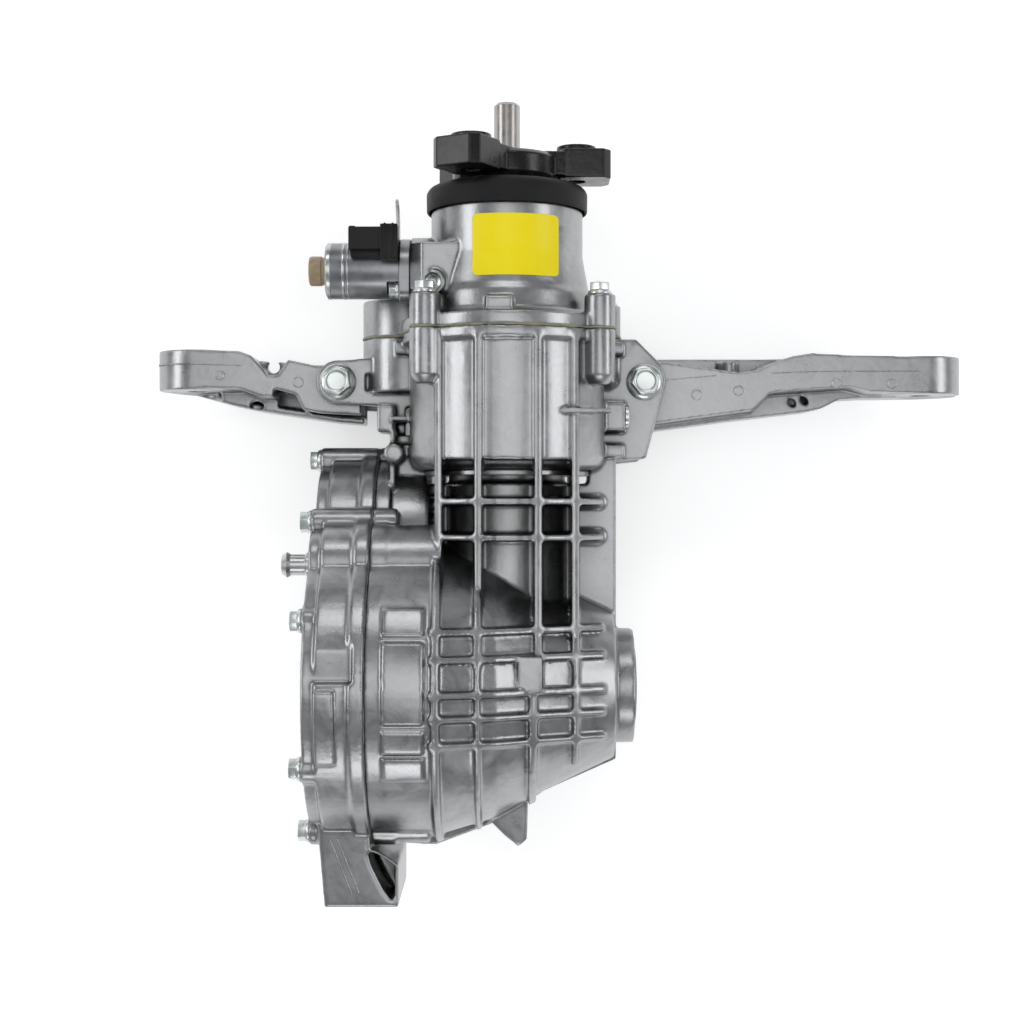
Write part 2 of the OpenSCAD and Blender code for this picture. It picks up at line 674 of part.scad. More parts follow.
module solenoid_connector() {
    color(black_colour)
    difference() {
        union() {
            translate([-108, socket_y - 7.5, 12]) cube([33.5, 17, 26]);
            translate([-86, 296, 10]) cube([11.7, 24, 30]);
            translate([-107, 296, 24]) cube([24, 6, 9]);
        }
        solenoid_axis() along_x(-120, -60, valve_r + fit);
        translate([-110, socket_y, 16]) cube([20, 7, 18]);
    }
}
module solenoid_bracket() {
    color(steel_colour)
    difference() {
        plate_x(-76, -74) {
            translate([330, 16]) circle(r = 7);
            translate([290, 9]) square([40, 14]);
        }
        solenoid_axis() along_x(-90, -60, valve_r + fit);
        translate([-90, 295, 1]) cube([30, 25, 40]);
        translate([0, 330, 16]) along_x(-80, -70, 3.3);
    }
}
module solenoid_bolt() {
    color(zinc_colour)
    translate([-74, 273, 24]) rotate([0, -90, 0]) flange_bolt(3, 18, 5.8, 5.2, 6.5);
}

module input_flange() {
    color(black_colour)
    difference() {
        union() {
            along_y(input_bearing_end + fit, 340, 25 - fit);
            along_y(334, 356, 36);
            turned_y([[0, 350], [36, 350], [38, 354], [38, 366], [34, 369], [0, 369]]);
            for (a = [0 : 120 : 240]) rotate([0, a, 0]) {
                plate_y(arm_back + 1, arm_front - 2) polygon([[0, -21], [40, -18.5], [40, 18.5], [0, 21]]);
                plate_y(arm_back, arm_front) polygon([[37, -15], [41, -18.5], [flange_tip_r - 5, -18.5],
                    [flange_tip_r, -13], [flange_tip_r, 13], [flange_tip_r - 5, 18.5], [41, 18.5], [37, 15]]);
                translate([flange_bolt_r, 0, 0]) along_y(arm_front - overlap, arm_front + 4, 13.8);
            }
        }
        along_y(300, 400, input_r + fit);
        along_y(356, 400, 21);
        for (a = [0 : 120 : 240]) rotate([0, a, 0]) translate([flange_bolt_r, 0, 0]) {
            along_y(arm_back - overlap, arm_front + 5, flange_hole_r);
        }
    }
}
module flange_nut() {
    color(steel_colour)
    difference() {
        union() {
            plate_y(358, 368) rotate(15) hexagon(18);
            along_y(356, 359, 19.5);
        }
        along_y(350, 370, input_r - 5 + fit);
    }
}
module dust_shield() {
    color(black_colour)
    turned_y([[36 + fit, 337], [52, 337], [54.2, 336], [54.2, dust_start], [56, dust_start], [56.2, 342],
        [53, 346.5], [48, dust_end], [36 + fit, dust_end]]);
}
module input_seal() {
    color(black_colour)
    turned_y([[25 + fit, seal_start + 3], [33 - fit, seal_start + 0.5], [33 - fit, seal_start + 9.5],
        [27, seal_start + 9.5], [25 + fit, seal_start + 7]]);
}
module input_bearing_outer() {
    color(steel_colour)
    difference() {
        along_y(input_bearing_start, input_bearing_end, input_bearing_r - fit);
        along_y(input_bearing_start - overlap, input_bearing_end + overlap, 29.6);
        rotate([-90, 0, 0]) translate([0, 0, 300.5]) rotate_extrude() translate([26, 0]) circle(r = 5.3);
    }
}
module input_bearing_inner() {
    color(steel_colour)
    difference() {
        union() {
            along_y(input_bearing_start, input_bearing_end, 22.5);
            for (a = [0 : 36 : 324]) rotate([0, a, 0]) translate([26, 300.5, 0]) sphere(r = 5);
        }
        along_y(input_bearing_start - overlap, input_bearing_end + overlap, input_r + fit);
    }
}
module input_shaft() {
    color(steel_colour)
    turned_y([[0, 213], [input_r, 213], [input_r, 354.5], [input_r - 5, 355.5], [input_r - 5, 371],
        [stub_r, 372], [stub_r, stub_end - 2], [stub_r - 2, stub_end], [0, stub_end]]);
}

module clutch_drum() {
    color(steel_colour)
    difference() {
        along_y(162, 221, drum_r);
        along_y(161, 213, drum_bore_r);
        along_y(212, 230, input_r + fit);
        for (a = [0 : 45 : 315]) rotate([0, a, 0]) {
            translate([38, 0, 0]) along_y(205, 230, 6);
            translate([drum_r, 186, 0]) cube([12, 26, 7], center = true);
        }
    }
}
module plate_row(first, inner, outer) {
    for (i = [0 : plate_pairs - 1]) difference() {
        y = pack_start + (2 * i + first) * (plate_thick + plate_gap);
        along_y(y, y + plate_thick, outer);
        along_y(y - overlap, y + plate_thick + overlap, inner);
    }
}
module steel_plates() {
    color(steel_colour) plate_row(1, hub_r + 2.5, drum_bore_r - fit);
}
module friction_plates() {
    color([0.35, 0.25, 0.17]) plate_row(0, hub_r + fit, drum_bore_r - 2.5);
}
module clutch_hub() {
    color(steel_colour)
    turned_y([[14 + fit, 168], [hub_r, 168], [hub_r, pack_end + 1], [28, pack_end + 1], [28, 192],
        [14 + fit, 192]]);
}
module pressure_plate() {
    color(steel_colour)
    difference() {
        along_y(165.5, pack_start - plate_gap, drum_bore_r - fit);
        along_y(160, 175, hub_r + 2.5);
    }
}
module thrust_bearing() {
    color(steel_colour)
    difference() {
        along_y(161.5, 165.5, 53.5);
        along_y(160, 170, 42);
    }
}
module clutch_piston() {
    color(cast_colour)
    difference() {
        along_y(146, 159.5, piston_outer_r - fit);
        along_y(140, 170, piston_inner_r + fit);
        difference() {
            along_y(149, 152, piston_outer_r + overlap);
            along_y(148, 153, piston_outer_r - 2);
        }
        along_y(149, 152, piston_inner_r + 2);
    }
}
module piston_seals() {
    color(black_colour)
    for (r = [piston_outer_r - fit, piston_inner_r + 2]) difference() {
        along_y(149.1, 151.9, r);
        along_y(148, 153, r - 2 + fit);
    }
}

// Tapered roller bearing, drawn along Z with its larger race radius at z = 0
module bearing_cup(r_out, width, race_a, race_b) {
    rotate_extrude() polygon([[race_a, 0], [r_out - fit, 0], [r_out - fit, width], [race_b, width]]);
}
module bearing_cone(r_in, width, race_a, race_b, roller_r, rollers) {
    tilt = atan((race_a - race_b) / width);
    drop = (2 * roller_r - 0.5) / cos(tilt);
    rotate_extrude() polygon([[r_in, 0], [race_a - drop, 0], [race_b - drop, width], [r_in, width]]);
    for (i = [1 : rollers]) rotate(i * 360 / rollers) {
        translate([(race_a + race_b) / 2 - (roller_r + 0.12) / cos(tilt), 0, width / 2])
            rotate([0, -tilt, 0]) {
            cylinder(h = width - 4, r = roller_r, center = true);
        }
    }
}
module facing_y(y) {
    translate([0, y, 0]) rotate([-90, 0, 0]) children();
}
module facing_x(x) {
    translate([x, 0, 0]) rotate([0, 90, 0]) children();
}
shaft_r = 18;
module head_bearing_cup() {
    color(steel_colour) facing_y(head_start) bearing_cup(head_cup_r, head_end - head_start, 36.5, 33);
}
module head_bearing_cone() {
    color(steel_colour) facing_y(head_start)
        bearing_cone(shaft_r + fit, head_end - head_start, 36.5, 33, 4.6, 18);
}
module pinion_spacer() {
    color(steel_colour)
    turned_y([[shaft_r + fit, head_end], [23, head_end], [24.5, 124], [24.5, 131], [22.5, tail_start],
        [shaft_r + fit, tail_start]]);
}
module tail_bearing_cup() {
    color(steel_colour) facing_y(tail_end) mirror([0, 0, 1])
        bearing_cup(tail_cup_r, tail_end - tail_start, 33, 30);
}
module tail_bearing_cone() {
    color(steel_colour)
    facing_y(tail_end) mirror([0, 0, 1]) bearing_cone(shaft_r + fit, tail_end - tail_start, 33, 30, 4, 18);
}
module pinion_nut() {
    color(steel_colour)
    difference() {
        plate_y(tail_end, 165) circle(r = 24, $fn = 12);
        along_y(150, 170, 16 + fit);
    }
}
module left_carrier_cup() {
    color(steel_colour) facing_x(left_cup_end) mirror([0, 0, 1]) bearing_cup(bore_r, 18, 34, 31.5);
}
module left_carrier_cone() {
    color(steel_colour) facing_x(left_cup_end) mirror([0, 0, 1])
        bearing_cone(journal_r + fit, 18, 34, 31.5, 4, 20);
}
module right_carrier_cup() {
    color(steel_colour) facing_x(right_cup_start) bearing_cup(bore_r, 18, 34, 31.5);
}
module right_carrier_cone() {
    color(steel_colour) facing_x(right_cup_start) bearing_cone(journal_r + fit, 18, 34, 31.5, 4, 20);
}

// Bevel gear teeth: involute flanks on the back cone of each section, every section scaled from the
// point where the two axes cross, and turned about the axis where the tooth is spiral
function inv(a) = tan(a) * 180 / PI - a;
function half_tooth(rho, rv, rb, thick) =
    thick / (2 * rv) * 180 / PI + inv(acos(rb / rv)) - inv(acos(min(1, rb / max(rho, rb))));
function cone_point(rho, angle, cone, distance) = [
    rho * cos(cone) * cos(angle), rho * cos(cone) * sin(angle), distance / cos(cone) - rho * sin(cone)];
function tooth_section(teeth, cone, mod, distance, turn, shift, depth, press, backlash) =
    let (rv = teeth / cos(cone) / 2, rb = rv * cos(press), tip = rv + depth / 2 + shift,
        root = rv - depth / 2 - 0.2 + shift, thick = PI / 2 + 2 * shift * tan(press) - backlash,
        levels = [root, rv + shift * 0.4, tip])
    [for (i = [0 : teeth - 1]) for (side = [-1, 1]) for (k = [0 : 2])
        let (level = levels[side < 0 ? k : 2 - k],
            a = side * half_tooth(level, rv, rb, thick) / cos(cone))
        cone_point(level * mod, i * 360 / teeth + a + turn, cone, distance)];
// Closed ring of quads through rows of equally many points
module loft_ring(rows) {
    n = len(rows[0]);
    m = len(rows);
    polyhedron(points = [for (row = rows) each row],
        faces = [for (i = [0 : m - 1]) for (j = [0 : n - 1])
            let (a = i * n + j, b = i * n + (j + 1) % n, c = ((i + 1) % m) * n + (j + 1) % n,
                d = ((i + 1) % m) * n + j)
            each [[a, c, b], [a, d, c]]]);
}
function flat_row(row, r, z) = [for (p = row)
    [p[0] * r / norm([p[0], p[1]]), p[1] * r / norm([p[0], p[1]]), z]];

spiral_steps = 3;
gear_depth = 1.7;
gear_shift = 0.35;
gear_backlash = 0.09;
function gear_rows(teeth, cone, spiral, shift) =
    [for (i = [0 : spiral_steps])
        let (distance = gear_distance - gear_face * (1 - i / spiral_steps))
        tooth_section(teeth, cone, gear_module * distance / gear_distance, distance,
            spiral * (i / spiral_steps - 0.5), shift, gear_depth, 20, gear_backlash)];
module ring_teeth_solid() {
    rows = gear_rows(ring_teeth, ring_cone, ring_spiral, -gear_shift);
    heel = rows[spiral_steps];
    toe = rows[0];
    loft_ring(concat(rows, [flat_row(heel, ring_r - 1.5, ring_back),
        flat_row(toe, ring_bore_r - 2, ring_back),
        flat_row(toe, ring_bore_r - 2, 33), flat_row(toe, 62, 30.5)]));
}
module ring_gear() {
    color(steel_colour)
    difference() {
        rotate([0, -90, 0]) rotate(90 + 180 / ring_teeth) ring_teeth_solid();
        along_x(-60, -20, ring_bore_r + fit);
        for (i = [1 : ring_bolts]) rotate([i * 360 / ring_bolts, 0, 0]) translate([0, ring_bolt_r, 0]) {
            along_x(-60, -39, 5);
        }
    }
}
module drive_pinion() {
    rows = gear_rows(pinion_teeth, pinion_cone, -ring_spiral * ring_teeth / pinion_teeth, gear_shift);
    color(steel_colour)
    union() {
        rotate([-90, 0, 0]) rotate(180) loft_ring(concat(rows,
            [flat_row(rows[spiral_steps], 26, 97), flat_row(rows[spiral_steps], 12, 97),
            flat_row(rows[0], 12, 66), flat_row(rows[0], 20, 66)]));
        turned_y([[0, 67], [shaft_r, 67], [shaft_r, 96], [24, 96], [24, head_start], [shaft_r, head_start],
            [shaft_r, tail_end], [16, tail_end], [16, 166], [14, 167], [14, 206], [0, 206]]);
    }
}

function straight_rows(teeth, cone, shift) =
    [for (distance = [spider_distance - spider_face, spider_distance])
        tooth_section(teeth, cone, spider_module * distance / spider_distance, distance, 0, shift, 1.7,
            22.5, 0.08)];
module spider_gear(phase) {
    rows = straight_rows(spider_teeth, spider_cone, 0.25);
    difference() {
        intersection() {
            rotate(phase) loft_ring(concat(rows, [flat_row(rows[1], 19, 43), flat_row(rows[1], 6, 43),
                flat_row(rows[0], 6, 23), flat_row(rows[0], 9, 23)]));
            sphere(r = case_ball_r - 1);
        }
        cylinder(h = 100, r = pin_r + fit);
    }
}
module front_spider_gear() {
    color(steel_colour) translate([case_x, 0, 0]) spider_gear(0);
}
module rear_spider_gear() {
    color(steel_colour) translate([case_x, 0, 0]) mirror([0, 0, 1]) spider_gear(0);
}
module side_gear() {
    rows = straight_rows(side_teeth, side_cone, -0.25);
    difference() {
        union() {
            rotate(180 / side_teeth) loft_ring(concat(rows, [flat_row(rows[1], 26, 30),
                flat_row(rows[1], 11, 30),
                flat_row(rows[0], 11, 17), flat_row(rows[0], 18, 17)]));
            translate([0, 0, 29]) cylinder(h = 4, r = 24);
            translate([0, 0, 22]) cylinder(h = 22, r = 19 - fit);
        }
        translate([0, 0, 5]) cylinder(h = 50, r = 13.5);
    }
}
module left_side_gear() {
    color(steel_colour) translate([case_x, 0, 0]) rotate([0, -90, 0]) side_gear();
}
module right_side_gear() {
    color(steel_colour) translate([case_x, 0, 0]) rotate([0, 90, 0]) side_gear();
}
module spider_washers() {
    color(steel_colour)
    translate([case_x, 0, 0]) for (m = [0, 1]) mirror([0, 0, m]) intersection() {
        difference() {
            sphere(r = case_ball_r - 0.1);
            sphere(r = case_ball_r - 0.9);
        }
        difference() {
            cylinder(h = 50, r = 17);
            translate([0, 0, -1]) cylinder(h = 60, r = pin_r + fit);
        }
    }
}
module diff_case() {
    color([0.4, 0.4, 0.4])
    difference() {
        turned_x([[journal_bore_r, left_cup_start + 0.5], [journal_r, left_cup_start + 0.5],
            [journal_r, left_cup_end + fit],
            [27, left_cup_end + fit], [30, case_left - case_flange], [77, case_left - case_flange],
            [77, case_left],
            [ring_bore_r, case_left], [ring_bore_r, -38], [case_r, -36], [case_r, 28], [44, case_right],
            [27, case_right + 2], [27, right_cup_start], [journal_r, right_cup_start],
            [journal_r, right_cup_end - 0.5],
            [journal_bore_r, right_cup_end - 0.5]]);
        translate([case_x, 0, 0]) sphere(r = case_ball_r);
        along_x(case_x - 33.5, case_x + 33.5, 26);
        along_x(case_x - 45, case_x + 45, 19);
        translate([case_x, 0, 0]) along_y(-60, 60, 22);
        translate([case_x, 0, -60]) cylinder(h = 120, r = pin_r);
        for (i = [1 : ring_bolts]) rotate([i * 360 / ring_bolts, 0, 0]) translate([0, ring_bolt_r, 0]) {
            along_x(-70, -50, 5.4);
        }
        translate([0, 0, 46.5]) along_x(case_x, 40, 2);
    }
}
module cross_pin() {
    color(steel_colour)
    difference() {
        translate([case_x, 0, -50]) cylinder(h = 100, r = pin_r - fit);
        translate([0, 0, 46.5]) along_x(case_x - 20, case_x + 20, 2);
    }
}
module cross_pin_lock() {
    color(steel_colour) translate([0, 0, 46.5]) along_x(case_x - 6, 33, 2 - fit);
}
module ring_gear_bolts() {
    color(steel_colour)
    for (i = [1 : ring_bolts]) rotate([i * 360 / ring_bolts, 0, 0])
        translate([case_left - case_flange, ring_bolt_r, 0]) {
        rotate([0, -90, 0]) flange_bolt(5, case_flange + 12, 7.8, 7.6, 7);
    }
}
module shaft_seal(x) {
    translate([x, 0, 0]) turned_x([[half_shaft_r, 2], [seal_r - fit, 0], [seal_r - fit, 11.5],
        [seal_r - 3, 12.5],
        [half_shaft_r + 4, 12.5], [half_shaft_r, 10.5]]);
}
module left_seal() {
    color(black_colour) translate([-cover_face, 0, 0]) mirror([1, 0, 0]) shaft_seal(-10);
}
module right_seal() {
    color(black_colour) shaft_seal(right_face - 10);
}
module blank_label() {
    color([0.95, 0.83, 0.1])
    intersection() {
        turned_y([[label_root_r + label_lift, label_start], [label_root_r + label_thick, label_start],
            [nose_r + label_thick, taper_end], [nose_r + label_thick, label_end],
            [nose_r + label_lift, label_end], [nose_r + label_lift, taper_end]]);
        translate([label_left, 270, 20]) cube([label_width, 60, 60]);
    }
}

module in_frame() {
    translate([-right_face, 0, 0]) children();
}
in_frame() main_housing();
in_frame() front_housing();
in_frame() side_cover();
in_frame() left_arm();
in_frame() right_arm();
in_frame() arm_bolts();
in_frame() cover_bolts();
in_frame() front_bolts();
in_frame() fill_plug();
in_frame() passage_plug();
in_frame() breather_barb();
in_frame() input_flange();
in_frame() flange_nut();
in_frame() dust_shield();
in_frame() input_seal();
in_frame() input_bearing_outer();
in_frame() input_bearing_inner();
in_frame() input_shaft();
in_frame() solenoid_body();
in_frame() solenoid_cap();
in_frame() solenoid_connector();
in_frame() solenoid_bracket();
in_frame() solenoid_bolt();
in_frame() clutch_drum();
in_frame() steel_plates();
in_frame() friction_plates();
in_frame() clutch_hub();
in_frame() pressure_plate();
in_frame() thrust_bearing();
in_frame() clutch_piston();
in_frame() piston_seals();
in_frame() drive_pinion();
in_frame() head_bearing_cup();
in_frame() head_bearing_cone();
in_frame() pinion_spacer();
in_frame() tail_bearing_cup();
in_frame() tail_bearing_cone();
in_frame() pinion_nut();
in_frame() ring_gear();
in_frame() ring_gear_bolts();
in_frame() diff_case();
in_frame() cross_pin();
in_frame() cross_pin_lock();
in_frame() front_spider_gear();
in_frame() rear_spider_gear();
in_frame() left_side_gear();
in_frame() right_side_gear();
in_frame() spider_washers();
in_frame() left_carrier_cup();
in_frame() left_carrier_cone();
in_frame() right_carrier_cup();
in_frame() right_carrier_cone();
in_frame() left_seal();
in_frame() right_seal();
in_frame() blank_label();
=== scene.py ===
# Rear differential: finishes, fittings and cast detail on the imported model
import json
import math

import bmesh
import bpy
from mathutils import Matrix, Vector, noise


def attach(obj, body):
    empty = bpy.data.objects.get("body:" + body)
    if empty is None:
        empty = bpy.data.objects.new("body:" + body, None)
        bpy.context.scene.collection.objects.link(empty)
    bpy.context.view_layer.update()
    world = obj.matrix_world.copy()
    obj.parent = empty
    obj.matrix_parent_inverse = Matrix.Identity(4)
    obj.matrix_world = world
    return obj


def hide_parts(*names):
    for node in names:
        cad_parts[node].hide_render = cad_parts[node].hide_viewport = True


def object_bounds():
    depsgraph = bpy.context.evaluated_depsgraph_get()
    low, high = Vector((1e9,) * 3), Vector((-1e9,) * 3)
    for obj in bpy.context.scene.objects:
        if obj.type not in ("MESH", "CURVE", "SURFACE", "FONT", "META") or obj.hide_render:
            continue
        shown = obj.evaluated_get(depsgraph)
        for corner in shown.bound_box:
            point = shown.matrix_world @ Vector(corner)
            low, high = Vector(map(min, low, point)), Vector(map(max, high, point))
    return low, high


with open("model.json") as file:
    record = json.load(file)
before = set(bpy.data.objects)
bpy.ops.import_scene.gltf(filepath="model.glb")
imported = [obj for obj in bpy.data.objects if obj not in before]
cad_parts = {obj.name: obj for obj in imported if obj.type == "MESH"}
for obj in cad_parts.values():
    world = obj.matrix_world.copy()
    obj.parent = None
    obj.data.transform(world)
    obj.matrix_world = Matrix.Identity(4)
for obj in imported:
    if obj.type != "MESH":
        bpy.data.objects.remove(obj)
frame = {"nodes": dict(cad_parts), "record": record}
nodes = frame["nodes"]
cadLow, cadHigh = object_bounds()
print("frame loaded:", len(nodes), "CAD nodes")

# sizes below are in millimetres from the crossing of the pinion axis and the axle line
millimetre = 0.001
crossing = Vector((-0.0875, 0.0, 0.0))
toFrame = Matrix.Translation(crossing) @ Matrix.Scale(millimetre, 4)


cameraSet = {"place": (3.5, 121.0, 1213.0), "sensor": 36.0, "lens": 60.93}
camera = bpy.data.objects.new("camera", bpy.data.cameras.new("camera"))
camera.data.sensor_width = cameraSet["sensor"]
camera.data.lens = cameraSet["lens"]
camera.data.clip_start = 0.01
camera.location = toFrame @ Vector(cameraSet["place"])
bpy.context.scene.collection.objects.link(camera)
bpy.context.scene.camera = camera
bpy.context.scene.view_settings.view_transform = "Standard"

lamps = {
    "lampAbove": {"place": (0.0, 0.25, 2.6), "aim": (-0.08, 0.1, 0.0), "size": (1.8, 1.2), "watts": 9.5},
    "lampLeft": {"place": (-1.9, 0.5, 1.1), "aim": (-0.08, 0.1, 0.0), "size": (1.6, 0.7), "watts": 11.0},
    "lampRight": {"place": (1.8, 0.3, 1.2), "aim": (-0.08, 0.1, 0.0), "size": (1.6, 0.7), "watts": 10.0},
    "lampFoot": {"place": (-0.1, -1.9, 1.3), "aim": (-0.08, 0.1, 0.0), "size": (1.4, 0.5), "watts": 8.0},
    "lampHead": {"place": (-0.1, 2.2, 1.5), "aim": (-0.08, 0.1, 0.0), "size": (1.4, 0.5), "watts": 8.0},
}
for lampName, lampSet in lamps.items():
    lampData = bpy.data.lights.new(lampName, "AREA")
    lampData.shape = "RECTANGLE"
    lampData.size, lampData.size_y = lampSet["size"]
    lampData.energy = lampSet["watts"]
    lamp = bpy.data.objects.new(lampName, lampData)
    lamp.location = lampSet["place"]
    lamp.rotation_euler = (Vector(lampSet["aim"]) - lamp.location).to_track_quat("-Z", "Y").to_euler()
    lamp.visible_camera = False
    bpy.context.scene.collection.objects.link(lamp)


def addNode(tree, kind, values=None, **settings):
    node = tree.nodes.new(kind)
    for key, value in settings.items():
        setattr(node, key, value)
    for key, value in (values or {}).items():
        if isinstance(value, bpy.types.NodeSocket):
            tree.links.new(value, node.inputs[key])
        else:
            node.inputs[key].default_value = value
    return node


def emptyMaterial(name):
    material = bpy.data.materials.new(name)
    material.use_nodes = True
    material.node_tree.nodes.clear()
    return material, material.node_tree


worldSet = {"light": (0.95, 0.97, 1.0, 1.0), "strength": 0.34}
world = bpy.data.worlds.new("studio")
world.use_nodes = True
bpy.context.scene.world = world
worldTree = world.node_tree
worldTree.nodes.clear()
worldLight = addNode(worldTree, "ShaderNodeBackground", {"Color": worldSet["light"], "Strength": worldSet["strength"]})
addNode(worldTree, "ShaderNodeOutputWorld", {"Surface": worldLight.outputs[0]})

floorSet = {"half": 40.0, "colour": (0.92, 0.92, 0.92, 1.0), "lift": 0.45, "drop": 0.0005}
floorMesh = bmesh.new()
bmesh.ops.create_grid(floorMesh, x_segments=1, y_segments=1, size=floorSet["half"],
    matrix=Matrix.Translation((0.0, 0.0, cadLow.z - floorSet["drop"])))
floorData = bpy.data.meshes.new("floor")
floorMesh.to_mesh(floorData)
floorMesh.free()
floor = bpy.data.objects.new("floor", floorData)
bpy.context.scene.collection.objects.link(floor)
floorMaterial, floorTree = emptyMaterial("paleFloor")
floorPath = addNode(floorTree, "ShaderNodeLightPath")
floorPaint = addNode(floorTree, "ShaderNodeBsdfDiffuse", {"Color": floorSet["colour"]})
floorGlow = addNode(floorTree, "ShaderNodeEmission", {"Strength": floorSet["lift"]})
floorBright = addNode(floorTree, "ShaderNodeAddShader", {0: floorPaint.outputs[0], 1: floorGlow.outputs[0]})
floorRays = addNode(floorTree, "ShaderNodeMath", {0: floorPath.outputs["Is Camera Ray"],
    1: floorPath.outputs["Is Glossy Ray"]}, operation="MAXIMUM")
floorSeen = addNode(floorTree, "ShaderNodeMath", {0: floorRays.outputs[0],
    1: floorPath.outputs["Is Transmission Ray"]}, operation="MAXIMUM")
floorMix = addNode(floorTree, "ShaderNodeMixShader", {0: floorSeen.outputs[0], 1: floorPaint.outputs[0],
    2: floorBright.outputs[0]})
addNode(floorTree, "ShaderNodeOutputMaterial", {"Surface": floorMix.outputs[0]})
floorData.materials.append(floorMaterial)
print("stage ready")


# effects that several finishes share
def newGroup(name, inputs, outputs):
    group = bpy.data.node_groups.new(name, "ShaderNodeTree")
    for label, value in inputs.items():
        kind = "NodeSocketColor" if isinstance(value, tuple) else "NodeSocketFloat"
        group.interface.new_socket(label, in_out="INPUT", socket_type=kind).default_value = value
    for label, kind in outputs.items():
        group.interface.new_socket(label, in_out="OUTPUT", socket_type=kind)
    return group, group.nodes.new("NodeGroupInput"), group.nodes.new("NodeGroupOutput")


def buildSoftEdges():
    # rounds the shading of sharp edges, and marks them as a mask for lighter edges that are partly handling wear and
    # partly painted highlight
    group, entry, leave = newGroup("softEdges", {"Radius": 0.001, "WearAndHighlight": 1.0},
        {"Normal": "NodeSocketVector", "EdgeWearAndHighlight": "NodeSocketFloat"})
    rounded = addNode(group, "ShaderNodeBevel", {"Radius": entry.outputs["Radius"]}, samples=5)
    surface = addNode(group, "ShaderNodeNewGeometry")
    turn = addNode(group, "ShaderNodeVectorMath", {0: rounded.outputs[0], 1: surface.outputs["Normal"]},
        operation="DOT_PRODUCT")
    mask = addNode(group, "ShaderNodeMapRange", {"Value": turn.outputs["Value"], "From Min": 0.995, "From Max": 0.8})
    place = addNode(group, "ShaderNodeTexCoord")
    patchy = addNode(group, "ShaderNodeTexNoise", {"Vector": place.outputs["Object"], "Scale": 140.0, "Detail": 3.0})
    uneven = addNode(group, "ShaderNodeMapRange", {"Value": patchy.outputs[0], "From Min": 0.3, "From Max": 0.65})
    wornAndLit = addNode(group, "ShaderNodeMath", {0: mask.outputs[0], 1: uneven.outputs[0]}, operation="MULTIPLY")
    amount = addNode(group, "ShaderNodeMath", {0: wornAndLit.outputs[0], 1: entry.outputs["WearAndHighlight"]}, operation="MULTIPLY",
        use_clamp=True)
    group.links.new(rounded.outputs[0], leave.inputs["Normal"])
    group.links.new(amount.outputs[0], leave.inputs["EdgeWearAndHighlight"])
    return group


def buildPaintedShade():
    # painted shade: darkens the colour in corners and pockets, found by ambient occlusion
    group, entry, leave = newGroup("paintedShadeGroup", {"Reach": 0.012, "Depth": 1.0}, {"Mask": "NodeSocketFloat"})
    exposure = addNode(group, "ShaderNodeAmbientOcclusion", {"Distance": entry.outputs["Reach"]}, samples=5)
    shut = addNode(group, "ShaderNodeMapRange", {"Value": exposure.outputs["AO"], "From Min": 0.95, "From Max": 0.25})
    deepShade = addNode(group, "ShaderNodeMath", {0: shut.outputs[0], 1: entry.outputs["Depth"]}, operation="MULTIPLY",
        use_clamp=True)
    group.links.new(deepShade.outputs[0], leave.inputs["Mask"])
    return group


def buildCastSkin():
    # fine pebble of a die casting, with the slow flow marks of the metal
    group, entry, leave = newGroup("castSkin", {"Pebble": 900.0, "Flow": 38.0},
        {"Height": "NodeSocketFloat", "Tone": "NodeSocketFloat", "Speck": "NodeSocketFloat"})
    place = addNode(group, "ShaderNodeTexCoord")
    pebble = addNode(group, "ShaderNodeTexNoise", {"Vector": place.outputs["Object"],
        "Scale": entry.outputs["Pebble"], "Detail": 4.0, "Roughness": 0.6})
    dents = addNode(group, "ShaderNodeTexNoise", {"Vector": place.outputs["Object"], "Scale": 170.0, "Detail": 2.0})
    height = addNode(group, "ShaderNodeMath", {0: dents.outputs[0], 1: 1.6, 2: pebble.outputs[0]},
        operation="MULTIPLY_ADD")
    flow = addNode(group, "ShaderNodeTexNoise", {"Vector": place.outputs["Object"], "Scale": entry.outputs["Flow"],
        "Detail": 5.0, "Roughness": 0.65, "Distortion": 1.2})
    tone = addNode(group, "ShaderNodeMapRange", {"Value": flow.outputs[0], "From Min": 0.3, "From Max": 0.72})
    speck = addNode(group, "ShaderNodeMapRange", {"Value": pebble.outputs[0], "From Min": 0.62, "From Max": 0.74})
    group.links.new(height.outputs[0], leave.inputs["Height"])
    group.links.new(tone.outputs[0], leave.inputs["Tone"])
    group.links.new(speck.outputs[0], leave.inputs["Speck"])
    return group


def buildTurned():
    # fine tool lines; the mapping stretches them round the axis of the piece
    group, entry, leave = newGroup("turnedLines", {"Along X": 8.0, "Along Y": 2600.0, "Along Z": 8.0},
        {"Height": "NodeSocketFloat", "Tone": "NodeSocketFloat"})
    place = addNode(group, "ShaderNodeTexCoord")
    pitch = addNode(group, "ShaderNodeCombineXYZ", {0: entry.outputs[0], 1: entry.outputs[1], 2: entry.outputs[2]})
    spread = addNode(group, "ShaderNodeVectorMath", {0: place.outputs["Object"], 1: pitch.outputs[0]},
        operation="MULTIPLY")
    lines = addNode(group, "ShaderNodeTexNoise", {"Vector": spread.outputs[0], "Scale": 1.0, "Detail": 3.0})
    blotch = addNode(group, "ShaderNodeTexNoise", {"Vector": place.outputs["Object"], "Scale": 90.0, "Detail": 3.0})
    tone = addNode(group, "ShaderNodeMapRange", {"Value": blotch.outputs[0], "From Min": 0.35, "From Max": 0.7})
    group.links.new(lines.outputs[0], leave.inputs["Height"])
    group.links.new(tone.outputs[0], leave.inputs["Tone"])
    return group


softEdges = buildSoftEdges()
paintedShadeGroup = buildPaintedShade()
castSkin = buildCastSkin()
turnedLines = buildTurned()


def placeGroup(tree, group, values=None):
    node = tree.nodes.new("ShaderNodeGroup")
    node.node_tree = group
    for key, value in (values or {}).items():
        node.inputs[key].default_value = value
    return node


